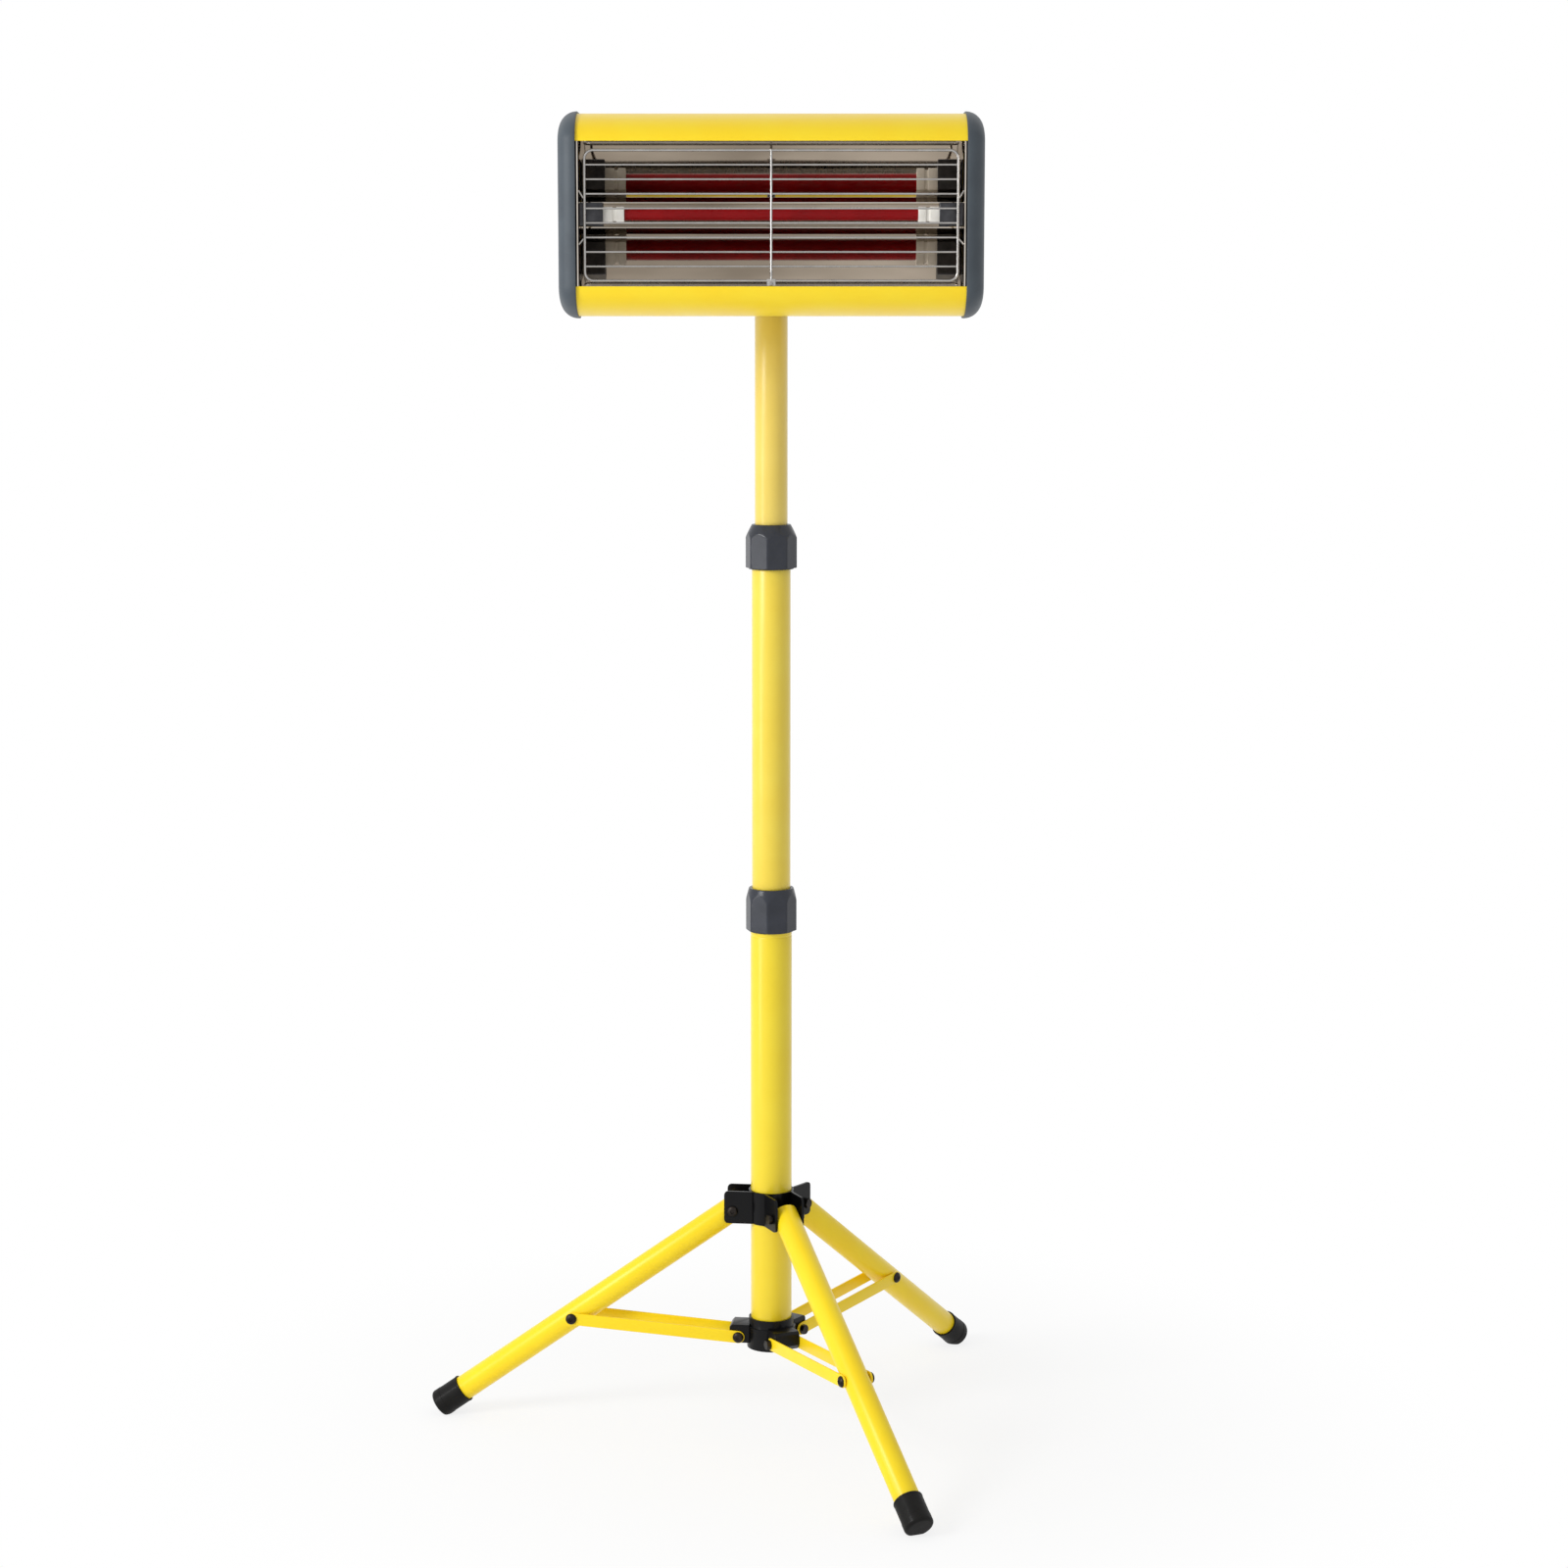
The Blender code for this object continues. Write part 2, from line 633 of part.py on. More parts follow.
def build_middle_tube(painted, plastic, slide):
    """The middle tube, and the plug with a sliding flange in its lower end."""
    inner = MIDDLE_TUBE_INNER
    tube = sleeve_profile(inner, MIDDLE_TUBE_RADIUS, MIDDLE_TUBE_BOTTOM, MIDDLE_TUBE_TOP)
    mesh = lowered(turned(tube, TUBE_STEPS, bored=True), LOWER_COLLAR_BOTTOM)
    piece("mast_middle_tube", mesh, painted, slide)
    bore = inner * GUIDE_BORE_SHARE
    plug = inner - SEAT_GAP
    rest = MIDDLE_TUBE_BOTTOM - SEAT_GAP
    foot = rest - GUIDE_FLANGE
    guide = [
        (bore, foot),
        (MIDDLE_TUBE_RADIUS, foot),
        (MIDDLE_TUBE_RADIUS, rest),
        (plug, rest),
        (plug, foot + GUIDE_LENGTH),
        (bore, foot + GUIDE_LENGTH),
    ]
    mesh = lowered(turned(guide, TUBE_STEPS, bored=True), LOWER_COLLAR_BOTTOM)
    piece("middle_tube_guide", mesh, plastic, slide)


def build_top_tube(painted, plastic, slide):
    """The top tube, and the bush round its lower end."""
    inner = TOP_TUBE_RADIUS - TUBE_WALL
    tube = sleeve_profile(inner, TOP_TUBE_RADIUS, TOP_TUBE_BOTTOM, TOP_TUBE_TOP)
    mesh = lowered(turned(tube, TUBE_STEPS, bored=True), UPPER_COLLAR_BOTTOM)
    piece("mast_top_tube", mesh, painted, slide)
    bore = inner * GUIDE_BORE_SHARE
    collar = TOP_TUBE_RADIUS + SEAT_GAP
    rest = TOP_TUBE_BOTTOM - SEAT_GAP
    foot = rest - GUIDE_FLANGE
    guide = [
        (bore, foot),
        (TOP_GUIDE_RADIUS, foot),
        (TOP_GUIDE_RADIUS, foot + GUIDE_LENGTH),
        (collar, foot + GUIDE_LENGTH),
        (collar, rest),
        (bore, rest),
    ]
    mesh = lowered(turned(guide, TUBE_STEPS, bored=True), UPPER_COLLAR_BOTTOM)
    piece("top_tube_guide", mesh, plastic, slide)


def build_lower_collar(plastic, root):
    """The collar that locks the middle tube in the base tube."""
    tubes = (BASE_TUBE_RADIUS, BASE_TUBE_TOP, MIDDLE_TUBE_RADIUS)
    build_collar("lower", plastic, root, LOWER_COLLAR_BOTTOM, 0, tubes)


def build_upper_collar(plastic, middle):
    """The collar that locks the top tube in the middle tube, and rides on that tube."""
    tubes = (MIDDLE_TUBE_RADIUS, MIDDLE_TUBE_TOP, TOP_TUBE_RADIUS)
    build_collar("upper", plastic, middle, UPPER_COLLAR_BOTTOM, LOWER_COLLAR_BOTTOM, tubes)


def build_collar(name, plastic, carrier, bottom, height, tubes):
    """A clamp sleeve on the outer tube's end, and the nut that twists on it.

    height is where the carrier's own frame is, and tubes holds the outer tube's radius,
    its top and the inner tube's radius.
    """
    outer_tube, tube_top, inner_tube = tubes
    sleeve_top = bottom + COLLAR_HEIGHT - SLEEVE_BELOW_TOP
    low_bore = outer_tube + SEAT_GAP
    high_bore = inner_tube + SEAT_GAP
    sleeve = [
        (low_bore, bottom - SLEEVE_SKIRT),
        (SLEEVE_RADIUS, bottom - SLEEVE_SKIRT),
        (SLEEVE_RADIUS, sleeve_top),
        (high_bore, sleeve_top),
        (high_bore, tube_top + SEAT_GAP),
        (low_bore, tube_top + SEAT_GAP),
    ]
    sleeve_mesh = turned(sleeve, TUBE_STEPS, bored=True)
    piece(f"{name}_collar_sleeve", lowered(sleeve_mesh, height), plastic, carrier)

    spin = axis(f"{name}_collar_twist", carrier, (0, 0, bottom - height), turns=0.25)
    shoulder = COLLAR_HEIGHT - COLLAR_TOP_CONE
    outline = arc((0, 0), COLLAR_RADIUS, COLLAR_RADIUS, 0, 360, COLLAR_SIDES)[:-1]
    prism = plate(outline, 0, COLLAR_HEIGHT, "Z")
    prism.transform(Matrix.Rotation(COLLAR_PHASE, 4, "Z"))
    # What lies outside the cone is turned off the prism's top, which leaves arched flats
    rim = high_bore + COLLAR_TOP_WALL
    flare = COLLAR_RADIUS - rim
    cone = [
        (rim, COLLAR_HEIGHT),
        (rim + flare * (1 + CUT_OVERRUN / COLLAR_TOP_CONE), shoulder - CUT_OVERRUN),
        (COLLAR_RADIUS + COLLAR_WALL, shoulder - CUT_OVERRUN),
        (COLLAR_RADIUS + COLLAR_WALL, COLLAR_HEIGHT + CUT_OVERRUN),
        (rim, COLLAR_HEIGHT + CUT_OVERRUN),
    ]
    roof = sleeve_top - bottom + SEAT_GAP
    bore = [
        (0, -CUT_OVERRUN),
        (COLLAR_BORE, -CUT_OVERRUN),
        (COLLAR_BORE, roof),
        (high_bore, roof),
        (high_bore, COLLAR_HEIGHT + CUT_OVERRUN),
        (0, COLLAR_HEIGHT + CUT_OVERRUN),
    ]
    cuts = [turned(cone, TUBE_STEPS, bored=True), turned(bore, TUBE_STEPS)]
    piece(f"{name}_collar_nut", prism, plastic, spin, cuts=cuts)


# Tripod
def build_upper_hub(finishes, root):
    black, bolts = finishes["black_steel"], finishes["black_bolt"]
    hub = axis("hub_slide", root, (0, 0, UPPER_PIVOT_HEIGHT), travel=HUB_TRAVEL)
    ring = sleeve_profile(
        UPPER_HUB_BORE, UPPER_HUB_RADIUS, -UPPER_HUB_BELOW_PIVOT, UPPER_HUB_ABOVE_PIVOT
    )
    joins = []
    cuts = []
    for index in range(len(LEG_NAMES)):
        turn = Matrix.Rotation(leg_azimuth(index), 4, "Z")
        for side in (-1, 1):
            ear = plate(ear_outline(), EAR_INNER, EAR_INNER + EAR_THICKNESS, "Y")
            if side < 0:
                ear.transform(Matrix.Rotation(math.pi, 4, "X") @ Matrix.Scale(-1, 4, (0, 0, 1)))
                ear.flip_normals()
            ear.transform(turn)
            joins.append(ear)
        reach = EAR_INNER + EAR_THICKNESS + CUT_OVERRUN
        hole = rod(HOLE_RADIUS, -reach, reach, about="Y", at=(UPPER_PIVOT_RADIUS, 0, 0))
        hole.transform(turn)
        cuts.append(hole)
    knob_turn = leg_azimuth(0) - math.pi / len(LEG_NAMES)
    boss_foot = (UPPER_HUB_BORE + UPPER_HUB_RADIUS) / 2
    boss_end = boss_foot + CLAMP_BOSS_DEPTH
    boss = box(
        (boss_foot, -CLAMP_BOSS_WIDTH / 2, -CLAMP_BOSS_HEIGHT / 2),
        (boss_end, CLAMP_BOSS_WIDTH / 2, CLAMP_BOSS_HEIGHT / 2),
    )
    knob_height = (UPPER_HUB_ABOVE_PIVOT - UPPER_HUB_BELOW_PIVOT) / 2
    lift = Matrix.Translation((0, 0, knob_height)) @ Matrix.Rotation(knob_turn, 4, "Z")
    boss.transform(lift)
    joins.append(boss)
    stud_hole = rod(STUD_HOLE_RADIUS, UPPER_HUB_BORE - CUT_OVERRUN, boss_end + CUT_OVERRUN, about="X")
    stud_hole.transform(lift)
    cuts.append(stud_hole)
    piece("upper_hub", turned(ring, TUBE_STEPS, bored=True), black, hub, joins=joins, cuts=cuts)

    knob = axis("hub_knob_screw", hub, (0, 0, knob_height), knob_turn, turns=0.5)
    build_clamp_knob("hub_lock_knob", finishes["black_plastic"], knob, UPPER_HUB_BORE, boss_end)
    for index, name in enumerate(LEG_NAMES):
        hinge = axis(
            f"leg_hinge_{name}",
            hub,
            radial(index, UPPER_PIVOT_RADIUS, 0),
            leg_azimuth(index),
            turn_back=LEG_FOLDED_SLOPE - LEG_SLOPE,
        )
        grip = EAR_INNER + EAR_THICKNESS
        bolt = turned(bolt_profile(-grip, grip), SMALL_STEPS, "Y")
        piece(f"leg_pivot_bolt_{name}", bolt, bolts, hinge)
        build_leg(name, finishes, hinge)
    return hub


def radial(index, radius, height):
    azimuth = leg_azimuth(index)
    return (radius * math.cos(azimuth), radius * math.sin(azimuth), height)


def ear_outline():
    """(x, z) outline of a hub ear: flat on the ring, round at its free corners."""
    root_x = UPPER_HUB_BORE * EAR_ROOT_SHARE
    tip_x = UPPER_PIVOT_RADIUS + EAR_PAST_PIVOT
    low, high = -UPPER_HUB_BELOW_PIVOT, UPPER_HUB_ABOVE_PIVOT
    inner_x = tip_x - EAR_CORNER
    lower = arc((inner_x, low + EAR_CORNER), EAR_CORNER, EAR_CORNER, -90, 0, CORNER_STEPS)
    upper = arc((inner_x, high - EAR_CORNER), EAR_CORNER, EAR_CORNER, 0, 90, CORNER_STEPS)
    return [(root_x, low)] + lower + upper + [(root_x, high)]


def build_clamp_knob(name, plastic, screw, tube_radius, boss_end):
    """A lobed knob along +X with a stud that reaches the tube."""
    low = boss_end + KNOB_STAND_OFF
    high = low + CLAMP_KNOB_LENGTH
    grip = plate(lobed_outline(CLAMP_KNOB_RADIUS), low, high)
    stud = rod(CLAMP_STUD_RADIUS, tube_radius, (low + high) / 2, about="X")
    piece(name, grip, plastic, screw, joins=[stud])


def build_leg(name, finishes, hinge):
    slope = (0, LEG_SLOPE, 0)
    tube_end = LEG_REACH - FOOT_CAP_BASE - SEAT_GAP
    tube = turned(
        sleeve_profile(LEG_RADIUS - LEG_WALL, LEG_RADIUS, -LEG_PAST_PIVOT, tube_end),
        LEG_STEPS,
        "X",
        bored=True,
    )
    reach = LEG_RADIUS + CUT_OVERRUN
    hole = rod(HOLE_RADIUS, -reach, reach, about="Y")
    piece(f"leg_tube_{name}", tube, finishes["yellow_paint"], hinge, slope, cuts=[hole])
    bore = LEG_RADIUS + SEAT_GAP
    mouth = LEG_REACH - FOOT_CAP_LENGTH
    cap = [
        (bore, mouth),
        (FOOT_CAP_RADIUS, mouth),
        (FOOT_CAP_RADIUS, LEG_REACH - FOOT_CAP_EDGE),
        (FOOT_CAP_RADIUS - FOOT_CAP_EDGE, LEG_REACH),
        (0, LEG_REACH),
        (0, LEG_REACH - FOOT_CAP_BASE),
        (bore, LEG_REACH - FOOT_CAP_BASE),
    ]
    mesh = turned(cap + cap[:1], LEG_STEPS, "X")
    foot = piece(f"foot_cap_{name}", mesh, finishes["rubber"], hinge, slope)
    add_boolean(foot, "DIFFERENCE", bpy.data.objects["floor_cut"])


def build_lower_hub(finishes, root):
    ring_top = LOWER_PIVOT_HEIGHT + LOWER_HUB_ABOVE_PIVOT
    step_radius = (LOWER_HUB_BORE + LOWER_HUB_RADIUS) / 2
    plug_rest = (BASE_TUBE_INNER - SEAT_GAP) * GUIDE_BORE_SHARE
    shoulder_top = LOWER_HUB_BOTTOM + LOWER_HUB_SHOULDER
    cup = [
        (plug_rest, LOWER_HUB_BOTTOM),
        (LOWER_HUB_RADIUS, LOWER_HUB_BOTTOM),
        (LOWER_HUB_RADIUS, ring_top - LOWER_HUB_COLLAR_HEIGHT),
        (step_radius, ring_top - LOWER_HUB_COLLAR_HEIGHT),
        (step_radius, ring_top),
        (LOWER_HUB_BORE, ring_top),
        (LOWER_HUB_BORE, shoulder_top),
        (plug_rest, shoulder_top),
    ]
    joins = []
    cuts = []
    for index in range(len(LEG_NAMES)):
        turn = Matrix.Rotation(leg_azimuth(index), 4, "Z")
        lug = plate(lug_outline(), -LUG_HALF_WIDTH, LUG_HALF_WIDTH, "Y")
        lug.transform(turn)
        joins.append(lug)
        reach = LUG_HALF_WIDTH + CUT_OVERRUN
        place = (LOWER_PIVOT_RADIUS, 0, LOWER_PIVOT_HEIGHT)
        hole = rod(HOLE_RADIUS, -reach, reach, about="Y", at=place)
        hole.transform(turn)
        cuts.append(hole)
    cuts.append(rod(LOWER_HUB_BORE, shoulder_top, ring_top + CUT_OVERRUN, TUBE_STEPS))
    mesh = turned(cup, TUBE_STEPS, bored=True)
    piece("lower_hub", mesh, finishes["black_plastic"], root, joins=joins, cuts=cuts)
    for index, name in enumerate(LEG_NAMES):
        build_brace(index, name, finishes, root)


def lug_outline():
    """(x, z) outline of a brace lug, taller than the brace and bevelled at its lower end."""
    root_x = LOWER_HUB_BORE + SEAT_GAP
    tip_x = LOWER_PIVOT_RADIUS + LUG_PAST_PIVOT
    low = LOWER_PIVOT_HEIGHT - LUG_BELOW_PIVOT
    high = LOWER_PIVOT_HEIGHT + LUG_ABOVE_PIVOT
    return [
        (root_x, low),
        (tip_x - LUG_END_CHAMFER, low),
        (tip_x, low + LUG_END_CHAMFER),
        (tip_x, high - LUG_END_CHAMFER / 2),
        (tip_x - LUG_END_CHAMFER / 2, high),
        (root_x, high),
    ]


def build_brace(index, name, finishes, root):
    """Two strips that swing on the lower hub's bolt, each with the pin at its leg end."""
    place = radial(index, LOWER_PIVOT_RADIUS, LOWER_PIVOT_HEIGHT)
    hinge = axis(
        f"brace_hinge_{name}",
        root,
        place,
        leg_azimuth(index),
        turn_up=BRACE_FOLDED_SLOPE - BRACE_SLOPE,
    )
    grip = STRIP_INNER + BRACE_THICKNESS
    bolt = turned(bolt_profile(-grip, grip), SMALL_STEPS, "Y")
    fixed = axis(f"brace_bolt_place_{name}", root, place, leg_azimuth(index))
    piece(f"brace_hub_bolt_{name}", bolt, finishes["black_bolt"], fixed)
    rise = (0, -BRACE_SLOPE, 0)
    outline = rounded_end_strip(BRACE_LENGTH, BRACE_HEIGHT, BRACE_END_STEPS)
    for side, letter in ((-1, "a"), (1, "b")):
        near, far = sorted((side * STRIP_INNER, side * grip))
        strip = plate(outline, near, far, "Y")
        low, high = near - CUT_OVERRUN, far + CUT_OVERRUN
        holes = [
            rod(HOLE_RADIUS, low, high, about="Y"),
            rod(HOLE_RADIUS, low, high, about="Y", at=(BRACE_LENGTH, 0, 0)),
        ]
        paint = finishes["yellow_paint"]
        piece(f"brace_{name}_{letter}", strip, paint, hinge, rise, cuts=holes)
        pin = turned(pin_profile(grip), SMALL_STEPS, "Y")
        if side < 0:
            pin.transform(Matrix.Rotation(math.pi, 4, "X"))
        pin.transform(Matrix.Translation((BRACE_LENGTH, 0, 0)))
        piece(f"brace_pin_{name}_{letter}", pin, finishes["black_bolt"], hinge, rise)


def pin_profile(grip):
    """A domed pin in one strip, stopping short of the leg that it would pass through."""
    tip = LEG_RADIUS + SEAT_GAP
    dome = arc((0, grip + SEAT_GAP), BOLT_HEAD_RADIUS, BOLT_HEAD_HEIGHT, 0, 90, BRACE_END_STEPS // 2)
    return [(0, tip), (BOLT_RADIUS, tip), (BOLT_RADIUS, grip + SEAT_GAP)] + dome


# Swivel and tilt
def build_swivel(finishes, top_slide):
    black = finishes["black_plastic"]
    pan = axis("pan_axis", top_slide, (0, 0, TOP_TUBE_TOP - UPPER_COLLAR_BOTTOM), turns=1.0)
    roof_low = SEAT_GAP
    roof_high = roof_low + SWIVEL_ROOF
    socket = [
        (SWIVEL_BORE, -SWIVEL_SOCKET_DEPTH),
        (SWIVEL_RADIUS, -SWIVEL_SOCKET_DEPTH),
        (SWIVEL_RADIUS, roof_high),
        (0, roof_high),
        (0, roof_low),
        (SWIVEL_BORE, roof_low),
        (SWIVEL_BORE, -SWIVEL_SOCKET_DEPTH),
    ]
    half = TONGUE_WIDTH / 2
    top = arc((0, TUBE_TOP_BELOW_PIVOT), TONGUE_RADIUS, TONGUE_RADIUS, 0, 180, BRACE_END_STEPS)
    foot = (roof_low + roof_high) / 2
    tongue = plate([(-TONGUE_RADIUS, foot), (TONGUE_RADIUS, foot)] + top, -half, half)
    reach = half + CUT_OVERRUN
    hole = rod(TILT_HOLE_RADIUS, -reach, reach, SMALL_STEPS, "X", (0, 0, TUBE_TOP_BELOW_PIVOT))
    boss_foot = (SWIVEL_BORE + SWIVEL_RADIUS) / 2
    boss_end = SWIVEL_RADIUS + CLAMP_BOSS_DEPTH / 2
    boss_half = CLAMP_BOSS_WIDTH / 2
    boss = box(
        (-boss_half, boss_foot, -PAN_KNOB_BELOW_TOP - boss_half),
        (boss_half, boss_end, -PAN_KNOB_BELOW_TOP + boss_half),
    )
    stud_low, stud_high = SWIVEL_BORE - CUT_OVERRUN, boss_end + CUT_OVERRUN
    knob_place = (0, 0, -PAN_KNOB_BELOW_TOP)
    stud_hole = rod(STUD_HOLE_RADIUS, stud_low, stud_high, about="Y", at=knob_place)
    mesh = turned(socket, TUBE_STEPS)
    piece("head_swivel", mesh, black, pan, joins=[tongue, boss], cuts=[hole, stud_hole])
    screw = axis("pan_knob_screw", pan, knob_place, math.pi / 2, turns=0.5)
    build_clamp_knob("pan_lock_knob", black, screw, SWIVEL_BORE, boss_end)
    return axis("tilt_axis", pan, (0, 0, TUBE_TOP_BELOW_PIVOT), up=75, down=20)


def build_bracket(finishes, tilt):
    plate_front = HEAD_BACK + SEAT_GAP
    plate_back = plate_front + BRACKET_PLATE_THICKNESS
    half_width, half_height = BRACKET_PLATE_WIDTH / 2, BRACKET_PLATE_HEIGHT / 2
    base = box((-half_width, plate_front, -half_height), (half_width, plate_back, half_height))
    root_y = (plate_front + plate_back) / 2
    end = arc((0, 0), TONGUE_RADIUS, TONGUE_RADIUS, -90, 90, BRACE_END_STEPS)
    outline = [(root_y, -half_height)] + end + [(root_y, half_height)]
    ears = [
        plate(outline, *sorted((side * BRACKET_EAR_INNER, side * BRACKET_EAR_OUTER)))
        for side in (-1, 1)
    ]
    reach = BRACKET_EAR_OUTER + CUT_OVERRUN
    hole = rod(TILT_HOLE_RADIUS, -reach, reach, SMALL_STEPS, "X")
    piece("rear_bracket", base, finishes["black_steel"], tilt, joins=ears, cuts=[hole])

    knob_face = BRACKET_EAR_OUTER + SEAT_GAP
    knob_end = knob_face + TILT_KNOB_LENGTH
    bolt_end = knob_end - TILT_KNOB_ROOF - SEAT_GAP
    head_face = -BRACKET_EAR_OUTER - SEAT_GAP
    bolt = [
        (0, head_face - TILT_BOLT_HEAD_HEIGHT),
        (TILT_BOLT_HEAD_RADIUS, head_face - TILT_BOLT_HEAD_HEIGHT / 2),
        (TILT_BOLT_HEAD_RADIUS, head_face),
        (TILT_BOLT_RADIUS, head_face),
        (TILT_BOLT_RADIUS, bolt_end),
        (0, bolt_end),
    ]
    piece("tilt_bolt", turned(bolt, SMALL_STEPS, "X"), finishes["zinc"], tilt)
    screw = axis("tilt_knob_screw", tilt, turns=0.5)
    knob = plate(lobed_outline(TILT_KNOB_RADIUS), knob_face, knob_end)
    bore_end = knob_end - TILT_KNOB_ROOF
    bore = rod(TILT_HOLE_RADIUS, knob_face - CUT_OVERRUN, bore_end, about="X")
    piece("tilt_knob", knob, finishes["black_plastic"], screw, cuts=[bore])


# Head casing
def head_section(grow=0.0):
    """(y, z) outline of the casing from the upper lip round the back to the lower lip."""
    lip = arc(
        (HEAD_FRONT + LIP_DEPTH, MOUTH_HALF_HEIGHT),
        LIP_DEPTH + grow,
        LIP_HEIGHT + grow,
        180,
        90,
        LIP_STEPS,
    )
    corner = arc(
        (HEAD_BACK - BACK_CORNER_RADIUS, SHELL_HALF_HEIGHT - BACK_CORNER_RADIUS),
        BACK_CORNER_RADIUS + grow,
        BACK_CORNER_RADIUS + grow,
        90,
        0,
        BACK_STEPS,
    )
    upper = lip + corner
    return upper + [(y, -z) for y, z in reversed(upper)]


def build_casing(finishes, tilt):
    wall = head_section() + head_section(-SHELL_WALL)[::-1]
    shell = plate(wall, -SHELL_HALF_LENGTH, SHELL_HALF_LENGTH)
    back_low, back_high = SHELL_BACK_INNER - CUT_OVERRUN, HEAD_BACK + CUT_OVERRUN
    vents = []
    for side in (-1, 1):
        for index in range(VENT_COUNT):
            x = side * (VENT_FIRST + index * VENT_PITCH)
            vents.append(
                (
                    (x - VENT_WIDTH / 2, back_low, VENT_HEIGHT - VENT_LENGTH / 2),
                    (x + VENT_WIDTH / 2, back_high, VENT_HEIGHT + VENT_LENGTH / 2),
                )
            )
    gland_hole = rod(
        GLAND_THREAD_RADIUS + SEAT_GAP, back_low, back_high, SMALL_STEPS, "Y", (GLAND_X, 0, GLAND_Z)
    )
    width, height = switch_body_half()
    switch_hole = box(
        (SWITCH_X - width - SEAT_GAP, back_low, SWITCH_Z - height - SEAT_GAP),
        (SWITCH_X + width + SEAT_GAP, back_high, SWITCH_Z + height + SEAT_GAP),
    )
    cuts = [boxes(vents), gland_hole, switch_hole]
    piece("housing_shell", shell, finishes["yellow_shell"], tilt, cuts=cuts)
    for side, name in ((-1, "left"), (1, "right")):
        cap = lofted(cap_loops(side))
        piece(f"end_cap_{name}", cap, finishes["slate_plastic"], tilt)


def cap_loops(side):
    """Outlines of an end cap from its inner floor, over the rim, to its domed face."""
    seat = CAP_INNER + CAP_OVERLAP
    floor = seat + CAP_CAVITY_DEPTH
    stations = [
        (floor, -CAP_CAVITY_INSET),
        (seat, -CAP_CAVITY_STEP),
        (seat, SEAT_GAP),
        (CAP_INNER, SEAT_GAP),
        (CAP_INNER, CAP_PROUD),
    ]
    for step in range(1, CAP_DOME_STEPS + 1):
        angle = math.pi / 2 * step / CAP_DOME_STEPS
        inset = CAP_WIDTH * (1 - math.cos(angle))
        stations.append((CAP_INNER + CAP_WIDTH * math.sin(angle), CAP_PROUD - inset))
    return [[(side * x, y, z) for y, z in head_section(grow)] for x, grow in stations]


# Lamp and reflector
def reflector_front():
    """(y, z) of the polished face from the lower rim to the upper rim."""
    upper = ridge_points(RIDGE_STEPS) + facet_points(FACET_STEPS)
    return [(y, -z) for y, z in reversed(upper[1:])] + upper


def offset_back(points, distance):
    """A line moved square to itself by distance, towards +Y."""
    moved = []
    for index, point in enumerate(points):
        before = Vector(points[max(index - 1, 0)])
        after = Vector(points[min(index + 1, len(points) - 1)])
        along = (after - before).normalized()
        moved.append((point[0] + along.y * distance, point[1] - along.x * distance))
    return moved


def build_reflector(finishes, tilt):
    front = reflector_front()
    sheet = front + offset_back(front, SHEET)[::-1]
    screw_z = screw_height()
    hole = rod(
        SCREW_RADIUS + SEAT_GAP,
        facet_depth(-screw_z) - SCREW_LENGTH,
        facet_depth(-screw_z) + SCREW_LENGTH,
        SMALL_STEPS,
        "Y",
        (0, 0, screw_z),
    )
    mesh = plate(sheet, -REFLECTOR_HALF_LENGTH, REFLECTOR_HALF_LENGTH)
    piece("reflector", mesh, finishes["mirror_sheet"], tilt, cuts=[hole])
    outline = head_section(-SHELL_WALL - SEAT_GAP)
    for side, name in ((-1, "left"), (1, "right")):
        span = sorted((side * END_PLATE_INNER, side * (END_PLATE_INNER + END_PLATE_THICKNESS)))
        end = plate(outline, *span)
        piece(f"reflector_end_{name}", end, finishes["mirror_sheet"], tilt)


